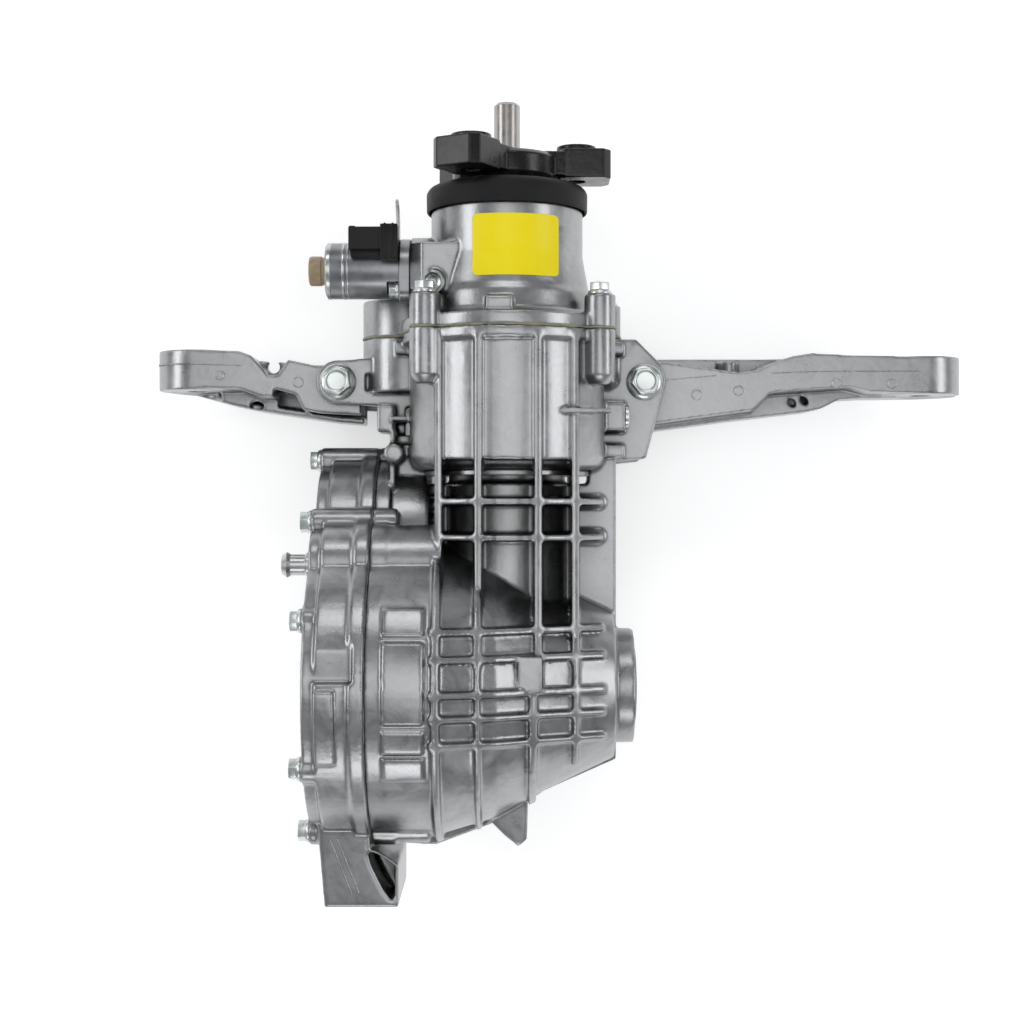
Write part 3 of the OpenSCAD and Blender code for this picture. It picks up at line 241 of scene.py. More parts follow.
def mixColour(tree, share, first, second):
    mix = addNode(tree, "ShaderNodeMix", data_type="RGBA")
    for index, value in ((0, share), (6, first), (7, second)):
        if isinstance(value, bpy.types.NodeSocket):
            tree.links.new(value, mix.inputs[index])
        else:
            mix.inputs[index].default_value = value
    return mix.outputs[2]


def ranged(tree, value, low, high):
    return addNode(tree, "ShaderNodeMapRange", {"Value": value, "To Min": low, "To Max": high}).outputs[0]


def castMetal(name, finish):
    material, tree = emptyMaterial(name)
    edges = placeGroup(tree, softEdges, {"Radius": finish["edgeRadius"], "WearAndHighlight": finish["wearAndHighlight"]})
    skin = placeGroup(tree, castSkin, {"Pebble": finish["pebble"], "Flow": finish["flow"]})
    # painted shade: corners and pockets darkened towards the darkest colour of the finish
    paintedShade = placeGroup(tree, paintedShadeGroup, {"Reach": finish["paintedShadeReach"], "Depth": finish["paintedShade"]})
    body = mixColour(tree, skin.outputs["Tone"], finish["dark"], finish["light"])
    # lighter edges: partly handling wear, partly painted highlight
    wornAndHighlighted = mixColour(tree, edges.outputs["EdgeWearAndHighlight"], body, finish["edge"])
    shadedColour = mixColour(tree, paintedShade.outputs["Mask"], wornAndHighlighted, finish["deepShade"])
    dull = ranged(tree, skin.outputs["Tone"], finish["roughLow"], finish["roughHigh"])
    sheen = addNode(tree, "ShaderNodeMath", {0: edges.outputs["EdgeWearAndHighlight"], 1: -0.1, 2: dull}, operation="MULTIPLY_ADD")
    bump = addNode(tree, "ShaderNodeBump", {"Height": skin.outputs["Height"], "Strength": finish["bump"],
        "Distance": 0.0003, "Normal": edges.outputs["Normal"]})
    shader = addNode(tree, "ShaderNodeBsdfPrincipled", {"Base Color": shadedColour, "Metallic": finish["metal"],
        "Roughness": sheen.outputs[0], "Normal": bump.outputs[0]})
    addNode(tree, "ShaderNodeOutputMaterial", {"Surface": shader.outputs[0]})
    return material


def turnedMetal(name, finish):
    material, tree = emptyMaterial(name)
    edges = placeGroup(tree, softEdges, {"Radius": finish["edgeRadius"], "WearAndHighlight": 1.0})
    lines = placeGroup(tree, turnedLines, {"Along X": finish["lines"][0], "Along Y": finish["lines"][1],
        "Along Z": finish["lines"][2]})
    body = mixColour(tree, lines.outputs["Tone"], finish["dark"], finish["light"])
    # lighter edges: partly handling wear, partly painted highlight
    wornAndHighlighted = mixColour(tree, edges.outputs["EdgeWearAndHighlight"], body, finish["edge"])
    dull = ranged(tree, lines.outputs["Tone"], finish["roughLow"], finish["roughHigh"])
    bump = addNode(tree, "ShaderNodeBump", {"Height": lines.outputs["Height"], "Strength": finish["bump"],
        "Distance": 0.00005, "Normal": edges.outputs["Normal"]})
    shader = addNode(tree, "ShaderNodeBsdfPrincipled", {"Base Color": wornAndHighlighted, "Metallic": 1.0, "Roughness": dull,
        "Normal": bump.outputs[0]})
    addNode(tree, "ShaderNodeOutputMaterial", {"Surface": shader.outputs[0]})
    return material


def coatedPlain(name, finish):
    # paint, rubber and plastics: no metal, a little grain and lighter edges, partly handling wear and partly painted
    # highlight
    material, tree = emptyMaterial(name)
    edges = placeGroup(tree, softEdges, {"Radius": finish["edgeRadius"], "WearAndHighlight": finish["wearAndHighlight"]})
    skin = placeGroup(tree, castSkin, {"Pebble": finish["pebble"], "Flow": finish["flow"]})
    body = mixColour(tree, skin.outputs["Tone"], finish["dark"], finish["light"])
    # lighter edges: partly handling wear, partly painted highlight
    wornAndHighlighted = mixColour(tree, edges.outputs["EdgeWearAndHighlight"], body, finish["edge"])
    dull = ranged(tree, skin.outputs["Tone"], finish["roughLow"], finish["roughHigh"])
    bump = addNode(tree, "ShaderNodeBump", {"Height": skin.outputs["Height"], "Strength": finish["bump"],
        "Distance": 0.0002, "Normal": edges.outputs["Normal"]})
    shader = addNode(tree, "ShaderNodeBsdfPrincipled", {"Base Color": wornAndHighlighted, "Metallic": 0.0, "Roughness": dull,
        "Normal": bump.outputs[0], "Coat Weight": finish["coat"], "Coat Roughness": finish["coatRough"],
        "Specular IOR Level": finish.get("specular", 0.5)})
    addNode(tree, "ShaderNodeOutputMaterial", {"Surface": shader.outputs[0]})
    return material


# in the cast finishes the darkest colour is painted shade, laid into corners and pockets
# the edge colour of every finish is partly handling wear and partly painted highlight
castAluminium = castMetal("castAluminium", {"dark": (0.29, 0.296, 0.304, 1), "light": (0.44, 0.446, 0.454, 1),
    "edge": (0.95, 0.95, 0.95, 1), "deepShade": (0.13, 0.128, 0.12, 1), "edgeRadius": 0.0011, "wearAndHighlight": 1.0,
    "pebble": 850.0, "flow": 42.0, "paintedShade": 0.62, "paintedShadeReach": 0.02, "roughLow": 0.25, "roughHigh": 0.38,
    "bump": 0.2, "metal": 1.0})
castIron = castMetal("castIron", {"dark": (0.12, 0.12, 0.12, 1), "light": (0.24, 0.24, 0.23, 1),
    "edge": (0.42, 0.42, 0.42, 1), "deepShade": (0.06, 0.055, 0.05, 1), "edgeRadius": 0.001, "wearAndHighlight": 0.7,
    "pebble": 600.0, "flow": 40.0, "paintedShade": 0.5, "paintedShadeReach": 0.012, "roughLow": 0.45, "roughHigh": 0.6,
    "bump": 0.5, "metal": 0.85})
zincPlate = turnedMetal("zincPlate", {"dark": (0.56, 0.6, 0.58, 1), "light": (0.72, 0.75, 0.74, 1),
    "edge": (0.86, 0.87, 0.86, 1), "lines": (60.0, 60.0, 60.0), "roughLow": 0.24, "roughHigh": 0.38,
    "edgeRadius": 0.0005, "bump": 0.3})
bareSteel = turnedMetal("bareSteel", {"dark": (0.34, 0.325, 0.31, 1), "light": (0.46, 0.44, 0.425, 1),
    "edge": (0.74, 0.74, 0.73, 1), "lines": (8.0, 2600.0, 8.0), "roughLow": 0.26, "roughHigh": 0.36,
    "edgeRadius": 0.0006, "bump": 0.35})
turnedAluminium = turnedMetal("turnedAluminium", {"dark": (0.6, 0.605, 0.61, 1), "light": (0.7, 0.705, 0.71, 1),
    "edge": (0.9, 0.9, 0.9, 1), "lines": (30.0, 900.0, 900.0), "roughLow": 0.2, "roughHigh": 0.3,
    "edgeRadius": 0.0003, "bump": 0.15})
dullZinc = turnedMetal("dullZinc", {"dark": (0.24, 0.245, 0.255, 1), "light": (0.36, 0.37, 0.385, 1),
    "edge": (0.7, 0.71, 0.72, 1), "lines": (1400.0, 10.0, 10.0), "roughLow": 0.3, "roughHigh": 0.4,
    "edgeRadius": 0.0006, "bump": 0.15})
turnedAcross = turnedMetal("turnedAcross", {"dark": (0.46, 0.46, 0.46, 1), "light": (0.6, 0.6, 0.6, 1),
    "edge": (0.78, 0.78, 0.78, 1), "lines": (2600.0, 8.0, 8.0), "roughLow": 0.24, "roughHigh": 0.34,
    "edgeRadius": 0.0006, "bump": 0.35})
bearingSteel = turnedMetal("bearingSteel", {"dark": (0.52, 0.52, 0.53, 1), "light": (0.64, 0.64, 0.65, 1),
    "edge": (0.8, 0.8, 0.8, 1), "lines": (40.0, 40.0, 40.0), "roughLow": 0.14, "roughHigh": 0.22,
    "edgeRadius": 0.0005, "bump": 0.15})
glossBlack = coatedPlain("glossBlack", {"dark": (0.004, 0.004, 0.0045, 1), "light": (0.009, 0.009, 0.01, 1),
    "edge": (0.02, 0.02, 0.022, 1), "edgeRadius": 0.0012, "wearAndHighlight": 0.5, "pebble": 500.0, "flow": 60.0,
    "roughLow": 0.17, "roughHigh": 0.3, "bump": 0.4, "coat": 0.0, "coatRough": 0.07, "specular": 0.42})
blackRubber = coatedPlain("blackRubber", {"dark": (0.007, 0.007, 0.008, 1), "light": (0.013, 0.013, 0.014, 1),
    "edge": (0.05, 0.05, 0.05, 1), "edgeRadius": 0.0008, "wearAndHighlight": 0.4, "pebble": 1400.0, "flow": 60.0,
    "roughLow": 0.5, "roughHigh": 0.62, "bump": 0.2, "coat": 0.0, "coatRough": 0.3, "specular": 0.24})
blackPlastic = coatedPlain("blackPlastic", {"dark": (0.006, 0.006, 0.007, 1), "light": (0.011, 0.011, 0.012, 1),
    "edge": (0.03, 0.03, 0.032, 1), "edgeRadius": 0.0006, "wearAndHighlight": 0.5, "pebble": 1600.0, "flow": 80.0,
    "roughLow": 0.34, "roughHigh": 0.44, "bump": 0.18, "coat": 0.0, "coatRough": 0.3, "specular": 0.25})
tanPlastic = coatedPlain("tanPlastic", {"dark": (0.3, 0.215, 0.13, 1), "light": (0.42, 0.32, 0.2, 1),
    "edge": (0.55, 0.45, 0.32, 1), "edgeRadius": 0.0006, "wearAndHighlight": 0.6, "pebble": 700.0, "flow": 90.0,
    "roughLow": 0.36, "roughHigh": 0.5, "bump": 0.2, "coat": 0.2, "coatRough": 0.2})
frictionLining = coatedPlain("frictionLining", {"dark": (0.08, 0.05, 0.03, 1), "light": (0.14, 0.09, 0.055, 1),
    "edge": (0.2, 0.14, 0.09, 1), "edgeRadius": 0.0004, "wearAndHighlight": 0.4, "pebble": 1500.0, "flow": 120.0,
    "roughLow": 0.7, "roughHigh": 0.85, "bump": 0.6, "coat": 0.0, "coatRough": 0.3})
yellowLabel = coatedPlain("yellowLabel", {"dark": (1.0, 0.79, 0.0, 1), "light": (1.0, 0.85, 0.008, 1),
    "edge": (0.95, 0.82, 0.2, 1), "edgeRadius": 0.0003, "wearAndHighlight": 0.3, "pebble": 900.0, "flow": 40.0,
    "roughLow": 0.4, "roughHigh": 0.5, "bump": 0.05, "coat": 0.1, "coatRough": 0.15, "specular": 0.3})
oliveSealant = coatedPlain("oliveSealant", {"dark": (0.2, 0.19, 0.12, 1), "light": (0.36, 0.345, 0.24, 1),
    "edge": (0.16, 0.155, 0.09, 1), "edgeRadius": 0.0003, "wearAndHighlight": 0.3, "pebble": 900.0, "flow": 60.0,
    "roughLow": 0.4, "roughHigh": 0.55, "bump": 0.3, "coat": 0.1, "coatRough": 0.3})
greySealant = coatedPlain("greySealant", {"dark": (0.13, 0.13, 0.125, 1), "light": (0.24, 0.24, 0.235, 1),
    "edge": (0.2, 0.2, 0.19, 1), "edgeRadius": 0.0003, "wearAndHighlight": 0.3, "pebble": 900.0, "flow": 60.0,
    "roughLow": 0.42, "roughHigh": 0.55, "bump": 0.3, "coat": 0.1, "coatRough": 0.3})
slotFinish = {"cast_aluminium": castAluminium, "zinc_steel": zincPlate, "bare_steel": bareSteel,
    "bearing_steel": bearingSteel, "black_paint": glossBlack, "black_rubber": blackRubber,
    "black_plastic": blackPlastic, "tan_plastic": tanPlastic, "friction_lining": frictionLining,
    "cast_iron": castIron, "yellow_label": yellowLabel}
for part in frame["record"]["subparts"]:
    finish = slotFinish[part["material_slot"]]
    mesh = nodes[part["node"]].data
    mesh.materials.clear()
    mesh.materials.append(finish)
for name in ("solenoid_body", "breather_barb"):
    nodes[name].data.materials[0] = turnedAcross
print("finishes ready")


def addPiece(name, shape, finish, body, replaced=(), crease=32.0, merge=0.0005):
    # takes a bmesh drawn in millimetres, puts it in place, and hands it to the body that carries it
    bmesh.ops.remove_doubles(shape, verts=shape.verts, dist=merge)
    bmesh.ops.recalc_face_normals(shape, faces=shape.faces)
    bmesh.ops.transform(shape, matrix=toFrame, verts=shape.verts)
    for face in shape.faces:
        face.smooth = True
    mesh = bpy.data.meshes.new(name)
    shape.to_mesh(mesh)
    shape.free()
    mesh.set_sharp_from_angle(angle=math.radians(crease))
    mesh.materials.append(finish)
    piece = bpy.data.objects.new(name, mesh)
    bpy.context.scene.collection.objects.link(piece)
    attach(piece, body)
    if replaced:
        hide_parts(*replaced)
    return piece


def joinPart(shape, part, place=None):
    if place is not None:
        bmesh.ops.transform(part, matrix=place, verts=part.verts)
    carried = bpy.data.meshes.new("carried")
    part.to_mesh(carried)
    part.free()
    shape.from_mesh(carried)
    bpy.data.meshes.remove(carried)


def turnedPart(profile, steps=64):
    # (radius, height) points spun round Z
    part = bmesh.new()
    points = [part.verts.new((radius, 0.0, height)) for radius, height in profile]
    for pair in zip(points, points[1:]):
        part.edges.new(pair)
    bmesh.ops.spin(part, geom=part.verts[:] + part.edges[:], cent=(0, 0, 0), axis=(0, 0, 1), angle=math.tau,
        steps=steps, use_merge=True)
    bmesh.ops.remove_doubles(part, verts=part.verts, dist=0.0005)
    bmesh.ops.recalc_face_normals(part, faces=part.faces)
    return part


def roundEdges(part, edges, width, segments=2):
    bmesh.ops.bevel(part, geom=list(edges), offset=width, offset_type="OFFSET", segments=segments, profile=0.5,
        affect="EDGES", clamp_overlap=True, material=-1)


def boxPart(low, high, width=0.0, segments=2):
    part = bmesh.new()
    size = Vector(high) - Vector(low)
    middle = (Vector(high) + Vector(low)) / 2
    bmesh.ops.create_cube(part, size=1.0, matrix=Matrix.Translation(middle) @ Matrix.Diagonal((*size, 1.0)))
    if width:
        roundEdges(part, part.edges[:], width, segments)
    return part


def hexPart(radius, height, chamfer, dish=0.0):
    # hexagon head standing on Z = 0, with rounded corners and a round dish in its top
    part = bmesh.new()
    bmesh.ops.create_cone(part, cap_ends=True, segments=6, radius1=radius, radius2=radius, depth=height,
        matrix=Matrix.Translation((0, 0, height / 2)))
    upright = [e for e in part.edges if abs(e.verts[0].co.z - e.verts[1].co.z) > height / 2]
    roundEdges(part, upright, radius * 0.06)
    top = max(part.faces, key=lambda f: f.calc_center_median().z)
    roundEdges(part, top.edges, chamfer, 3)
    if dish:
        bowl = turnedPart([(0, height - dish), (radius * 0.56, height - dish), (radius * 0.64, height - dish * 0.85),
            (radius * 0.7, height - dish * 0.35), (radius * 0.745, height + dish * 0.1),
            (radius * 0.745, height + 1.0), (0, height + 1.0)], 48)
        part = cutPart(part, bowl)
    return part


def cutPart(part, cutter):
    # one closed shape taken out of another
    holders = []
    for shape in (part, cutter):
        mesh = bpy.data.meshes.new("holder")
        shape.to_mesh(mesh)
        shape.free()
        holder = bpy.data.objects.new("holder", mesh)
        bpy.context.scene.collection.objects.link(holder)
        holders.append(holder)
    cut = holders[0].modifiers.new("cut", "BOOLEAN")
    cut.operation = "DIFFERENCE"
    cut.solver = "EXACT"
    cut.object = holders[1]
    bpy.context.view_layer.update()
    mesh = bpy.data.meshes.new_from_object(holders[0].evaluated_get(bpy.context.evaluated_depsgraph_get()))
    result = bmesh.new()
    result.from_mesh(mesh)
    for holder in holders:
        bpy.data.objects.remove(holder)
    bpy.data.meshes.remove(mesh)
    return result


def roundPlate(circles, low, high, chamfer, steps=40):
    # plate whose outline wraps round circles in X and Y, standing between two heights
    part = bmesh.new()
    for height, inset in ((low, chamfer), (low + chamfer, 0.0), (high - chamfer, 0.0), (high, chamfer)):
        for (x, y), radius in circles:
            for step in range(steps):
                angle = math.tau * step / steps
                part.verts.new((x + (radius - inset) * math.cos(angle), y + (radius - inset) * math.sin(angle), height))
    hull = bmesh.ops.convex_hull(part, input=part.verts[:])
    unused = {g for g in hull["geom_interior"] + hull["geom_unused"] if isinstance(g, bmesh.types.BMVert)}
    bmesh.ops.delete(part, geom=list(unused), context="VERTS")
    bmesh.ops.dissolve_limit(part, angle_limit=0.01, verts=part.verts[:], edges=part.edges[:])
    return part


def axisPlace(at, towards, turn=0.0):
    # matrix that carries a part standing on Z to a place and a direction
    aim = Vector(towards).to_track_quat("Z", "Y").to_matrix().to_4x4()
    return Matrix.Translation(at) @ aim @ Matrix.Rotation(math.radians(turn), 4, "Z")


# fine tubes: seams, beads, springs and raised lines
def tubeAlong(shape, points, width, closed=False, sides=8, widths=None):
    curve = bpy.data.curves.new("path", "CURVE")
    curve.dimensions = "3D"
    curve.bevel_depth = width
    curve.bevel_resolution = max(1, sides // 4)
    curve.use_fill_caps = True
    line = curve.splines.new("POLY")
    line.points.add(len(points) - 1)
    for index, point in enumerate(points):
        line.points[index].co = (*point, 1.0)
        if widths:
            line.points[index].radius = widths[index]
    line.use_cyclic_u = closed
    holder = bpy.data.objects.new("path", curve)
    bpy.context.scene.collection.objects.link(holder)
    bpy.context.view_layer.update()
    mesh = bpy.data.meshes.new_from_object(holder.evaluated_get(bpy.context.evaluated_depsgraph_get()))
    part = bmesh.new()
    part.from_mesh(mesh)
    bpy.data.objects.remove(holder)
    bpy.data.curves.remove(curve)
    bpy.data.meshes.remove(mesh)
    bmesh.ops.remove_doubles(part, verts=part.verts, dist=0.0005)
    joinPart(shape, part)


# castings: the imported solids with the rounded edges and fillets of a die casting
castings = {
    "main_housing": {"grain": 1.25, "passes": 5, "most": 190000, "ease": {"from": 139.0, "to": 162.5,
        "outer": (55.0, 58.8), "inner": (39.4, 43.0), "room": 0.3}},
    "front_housing": {"grain": 1.1, "passes": 5, "most": 150000},
    "side_cover": {"grain": 1.25, "passes": 5, "most": 150000},
    "left_arm": {"grain": 0.95, "passes": 5, "most": 110000},
    "right_arm": {"grain": 1.0, "passes": 5, "most": 130000},
    "input_flange": {"grain": 0.7, "passes": 5, "most": 90000, "finish": glossBlack, "body": "input",
        "slot": "black_paint"},
}


def easeBore(mesh, bore):
    # the softened walls of the piston's bore step back to where they were machined
    back = toFrame.inverted()
    for vert in mesh.vertices:
        place = back @ vert.co
        if not bore["from"] < place.y < bore["to"]:
            continue
        radius = math.hypot(place.x, place.z)
        for span, step in (("outer", bore["room"]), ("inner", -bore["room"])):
            if bore[span][0] < radius < bore[span][1]:
                vert.co = toFrame @ Vector((place.x * (1 + step / radius), place.y, place.z * (1 + step / radius)))


def softCasting(name, choice):
    shape = bmesh.new()
    shape.from_mesh(nodes[name].data)
    bmesh.ops.remove_doubles(shape, verts=shape.verts, dist=0.000001)
    mesh = bpy.data.meshes.new(name + "Cast")
    shape.to_mesh(mesh)
    shape.free()
    casting = bpy.data.objects.new(name + "Cast", mesh)
    bpy.context.scene.collection.objects.link(casting)
    remesh = casting.modifiers.new("grain", "REMESH")
    remesh.mode = "VOXEL"
    remesh.voxel_size = choice["grain"] * millimetre
    smooth = casting.modifiers.new("soften", "SMOOTH")
    smooth.factor = 0.5
    smooth.iterations = choice["passes"]
    bpy.context.view_layer.update()
    soft = bpy.data.meshes.new_from_object(casting.evaluated_get(bpy.context.evaluated_depsgraph_get()))
    count = sum(len(face.vertices) - 2 for face in soft.polygons)
    casting.modifiers.clear()
    casting.data = soft
    if count > choice["most"]:
        thin = casting.modifiers.new("thin", "DECIMATE")
        thin.ratio = choice["most"] / count
        bpy.context.view_layer.update()
        casting.data = bpy.data.meshes.new_from_object(casting.evaluated_get(bpy.context.evaluated_depsgraph_get()))
        casting.modifiers.clear()
    if "ease" in choice:
        easeBore(casting.data, choice["ease"])
    casting.data.name = name + "Cast"
    casting.data.shade_smooth()
    casting.data.materials.clear()
    casting.data.materials.append(choice.get("finish", castAluminium))
    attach(casting, choice.get("body", "housing"))
    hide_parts(name)
    print("casting", name, count, "->", len(casting.data.polygons))


for castName, castChoice in castings.items():
    softCasting(castName, castChoice)


# bolts: shank and flange in one turned form, hexagon head on top
boltKinds = {
    "arm": {"shank": 5.95, "length": 30.0, "flange": 13.0, "hex": 10.4, "head": 11.0},
    "case": {"shank": 3.95, "length": 36.0, "flange": 8.2, "hex": 7.4, "head": 8.0},
    "valve": {"shank": 2.95, "length": 18.0, "flange": 5.8, "hex": 5.2, "head": 6.5},
}


def joinBolt(shape, kind, at, towards, turn=0.0):
    size = boltKinds[kind]
    shank, length, flange, head = size["shank"], size["length"], size["flange"], size["head"]
    body = turnedPart([(0, -length), (shank - 0.9, -length), (shank, -length + 0.9), (shank, 0.0), (flange - 0.35, 0.0),
        (flange, 0.35), (flange, head * 0.15), (flange - 0.3, head * 0.2), (size["hex"] + 0.4, head * 0.3),
        (size["hex"] * 0.93, head * 0.36), (0, head * 0.36)], 72)
    joinPart(shape, body, axisPlace(at, towards))
    top = hexPart(size["hex"], head * 0.7, head * 0.085, head * 0.05)
    bmesh.ops.translate(top, verts=top.verts, vec=(0, 0, head * 0.3))
    joinPart(shape, top, axisPlace(at, towards, turn))


earSet = {"places": ((-120.3, 213.5), (97.8, 213.5)), "near": -20.0, "far": -102.0, "turns": (8.0, -21.0)}
armBolts = bmesh.new()
for (earX, earY), turn in zip(earSet["places"], earSet["turns"]):
    joinBolt(armBolts, "arm", (earX, earY, earSet["near"]), (0, 0, 1), turn)
    joinBolt(armBolts, "arm", (earX, earY, earSet["far"]), (0, 0, -1), -turn)
addPiece("armBolts", armBolts, zincPlate, "housing", ["arm_bolts"])

coverSet = {"face": -134.0, "places": ((49.5, 77), (-46.7, 82), (-96, 32), (-88, -46), (-44, -90), (38, -96),
    (104, -97), (158, -42), (114, 20))}
coverBolts = bmesh.new()
for index, (boltY, boltZ) in enumerate(coverSet["places"]):
    joinBolt(coverBolts, "case", (coverSet["face"], boltY, boltZ), (-1, 0, 0), 17.0 * index)
addPiece("coverBolts", coverBolts, zincPlate, "housing", ["cover_bolts"])

frontSet = {"seat": 268.0, "circle": 75.0, "angles": (33, 137, 198, 236, 292, 340)}
frontBolts = bmesh.new()
for angle in frontSet["angles"]:
    around = math.radians(angle)
    joinBolt(frontBolts, "case", (frontSet["circle"] * math.cos(around), frontSet["seat"],
        frontSet["circle"] * math.sin(around)), (0, 1, 0), angle * 1.7)
addPiece("frontBolts", frontBolts, zincPlate, "housing", ["front_bolts"])

valveScrew = bmesh.new()
joinBolt(valveScrew, "valve", (-74.0, 273.0, 24.0), (-1, 0, 0), 12.0)
addPiece("valveScrew", valveScrew, zincPlate, "housing", ["solenoid_bolt"])
print("bolts ready")

# blank sticker, bent over the nose
stickerSet = {"left": -23.0, "right": 35.0, "foot": 279.5, "head": 321.5, "corner": 3.2, "thick": 0.22,
    "lift": 0.03, "noseRadius": 52.8, "taperRadius": 57.0, "taperStart": 275.0, "taperEnd": 298.0}
sticker = bmesh.new()
bmesh.ops.create_grid(sticker, x_segments=1, y_segments=1, size=0.5)
bmesh.ops.transform(sticker, verts=sticker.verts, matrix=Matrix.Translation((
    (stickerSet["left"] + stickerSet["right"]) / 2, (stickerSet["foot"] + stickerSet["head"]) / 2, 0))
    @ Matrix.Diagonal((stickerSet["right"] - stickerSet["left"], stickerSet["head"] - stickerSet["foot"], 1, 1)))
bmesh.ops.bevel(sticker, geom=sticker.verts[:], offset=stickerSet["corner"], offset_type="OFFSET", segments=6,
    profile=0.5, affect="VERTICES", material=-1)
for cutX in [stickerSet["left"] + 1.5 * step for step in range(1, 38)]:
    bmesh.ops.bisect_plane(sticker, geom=sticker.verts[:] + sticker.edges[:] + sticker.faces[:], dist=0.0001,
        plane_co=(cutX, 0, 0), plane_no=(1, 0, 0))
for cutY in (284.0, 289.0, 294.0, stickerSet["taperEnd"], 302.0, 308.0, 315.0):
    bmesh.ops.bisect_plane(sticker, geom=sticker.verts[:] + sticker.edges[:] + sticker.faces[:], dist=0.0001,
        plane_co=(0, cutY, 0), plane_no=(0, 1, 0))
slope = (stickerSet["taperRadius"] - stickerSet["noseRadius"]) / (stickerSet["taperEnd"] - stickerSet["taperStart"])
for vert in sticker.verts:
    radius = stickerSet["noseRadius"] + max(0.0, stickerSet["taperEnd"] - vert.co.y) * slope + stickerSet["lift"]
    vert.co.z = math.sqrt(radius ** 2 - vert.co.x ** 2)
bmesh.ops.recalc_face_normals(sticker, faces=sticker.faces)
if sticker.faces[0].normal.z < 0:
    bmesh.ops.reverse_faces(sticker, faces=sticker.faces)
bmesh.ops.solidify(sticker, geom=sticker.faces[:], thickness=-stickerSet["thick"])
addPiece("blankSticker", sticker, yellowLabel, "housing", ["blank_label"])


# sealant that squeezed out of the two joints, thick and thin as it was laid
beadSet = {"width": 0.5, "least": 0.4, "most": 1.5, "sink": 0.3, "step": 1.5, "frontPlane": 245.3, "coverPlane": -92.0}
frontOutline = {"middle": 72.5, "circles": [(75.0, math.radians(a), 10.5) for a in frontSet["angles"]]
    + [(83.36, math.radians(210.26), 32.0)]}
coverOutline = {"middle": 104.0, "circles": [(math.hypot(y, z), math.atan2(z, y), r) for y, z, r in
    [(100, -40, 58.0), (85, 32, 28.0)] + [(y, z, 9.5) for y, z in coverSet["places"]]]}


def outlineRadius(outline, angle):
    # furthest point of the joint's outline in one direction
    reach = outline["middle"]
    for distance, bearing, radius in outline["circles"]:
        along = distance * math.cos(angle - bearing)
        inside = radius ** 2 - distance ** 2 + along ** 2
        if inside > 0:
            reach = max(reach, along + math.sqrt(inside))
    return reach


def joinBead(shape, outline, spread, seed, stretch=1.0):
    angles = [math.radians(beadSet["step"] * step) for step in range(int(360 / beadSet["step"]))]
    points = [spread(outlineRadius(outline, angle) - beadSet["sink"], angle) for angle in angles]
    widths = []
    for point in points:
        wave = noise.noise(Vector(point) * 0.11 + Vector((seed, 0, 0)))
        fine = noise.noise(Vector(point) * 0.6 + Vector((0, seed, 0)))
        widths.append(stretch * min(beadSet["most"], max(beadSet["least"], 0.85 + 0.9 * wave + 0.45 * fine)))
    tubeAlong(shape, points, beadSet["width"], closed=True, sides=8, widths=widths)


frontBead = bmesh.new()
joinBead(frontBead, frontOutline, lambda r, a: (r * math.cos(a), beadSet["frontPlane"], r * math.sin(a)), 3.0, 1.9)
addPiece("frontSealant", frontBead, oliveSealant, "housing")
coverBead = bmesh.new()
joinBead(coverBead, coverOutline, lambda r, a: (beadSet["coverPlane"], r * math.cos(a), r * math.sin(a)), 11.0)
addPiece("coverSealant", coverBead, greySealant, "housing")
print("sealant ready")

# control valve: plug housing with its socket, latch and pins, end cap and rolled bands
plugSet = {"shell": ((-107.6, 299.6, 12.4), (-80.0, 314.4, 37.6)), "wall": 1.7, "socket": 17.0, "round": 0.9,
    "block": ((-86.0, 292.6, 10.4), (-74.1, 316.6, 39.4)), "lip": ((-107.9, 313.6, 19.0), (-103.4, 316.4, 31.0)),
    "rail": ((-106.4, 294.6, 24.0), (-84.0, 300.2, 33.0)), "ribPlaces": (16.5, 33.5), "ringPlaces": (-83.6, -78.2),
    "pinPlaces": (22.0, 28.0), "small": 0.4}
plug = bmesh.new()
shell = boxPart(*plugSet["shell"])
mouth = min(shell.faces, key=lambda f: f.calc_center_median().x)
bmesh.ops.inset_region(shell, faces=[mouth], thickness=plugSet["wall"], use_even_offset=True)
bmesh.ops.inset_region(shell, faces=[mouth], thickness=0.35, depth=0.0, use_even_offset=True)
deeper = bmesh.ops.extrude_face_region(shell, geom=[mouth])
bmesh.ops.delete(shell, geom=[mouth], context="FACES_ONLY")
bmesh.ops.translate(shell, verts=[g for g in deeper["geom"] if isinstance(g, bmesh.types.BMVert)],
    vec=(plugSet["socket"], 0, 0))
joinPart(plug, shell)
joinPart(plug, boxPart(*plugSet["block"], plugSet["round"], 3))
joinPart(plug, boxPart(*plugSet["lip"], 0.6, 2))
joinPart(plug, boxPart(*plugSet["rail"], 0.6, 2))
for ribZ in plugSet["ribPlaces"]:
    joinPart(plug, boxPart((-103.0, 314.0, ribZ - 0.7), (-85.0, 315.3, ribZ + 0.7), plugSet["small"], 2))
for ringX in plugSet["ringPlaces"]:
    joinPart(plug, boxPart((ringX, 292.2, 9.9), (ringX + 1.6, 317.0, 39.9), plugSet["small"], 2))
addPiece("valvePlug", plug, blackPlastic, "housing", ["solenoid_connector"])

pins = bmesh.new()
for pinZ in plugSet["pinPlaces"]:
    joinPart(pins, boxPart((-103.0, 305.6, pinZ - 1.4), (-88.0, 306.4, pinZ + 1.4), 0.25, 2))
addPiece("valvePins", pins, bearingSteel, "housing")

capSet = {"at": (-124.9, 288.0, 10.0), "profile": [(0, -1.0), (10.2, -1.0), (10.3, 1.2), (9.7, 1.6), (9.7, 3.2),
    (10.3, 3.6), (10.3, 10.4), (9.9, 11.4), (9.0, 12.0), (5.4, 12.0), (4.9, 11.5), (4.9, 10.2), (0, 10.2)]}
cap = turnedPart(capSet["profile"], 64)
bmesh.ops.transform(cap, matrix=axisPlace(capSet["at"], (-1, 0, 0)), verts=cap.verts)
addPiece("valveCap", cap, tanPlastic, "housing", ["solenoid_cap"])

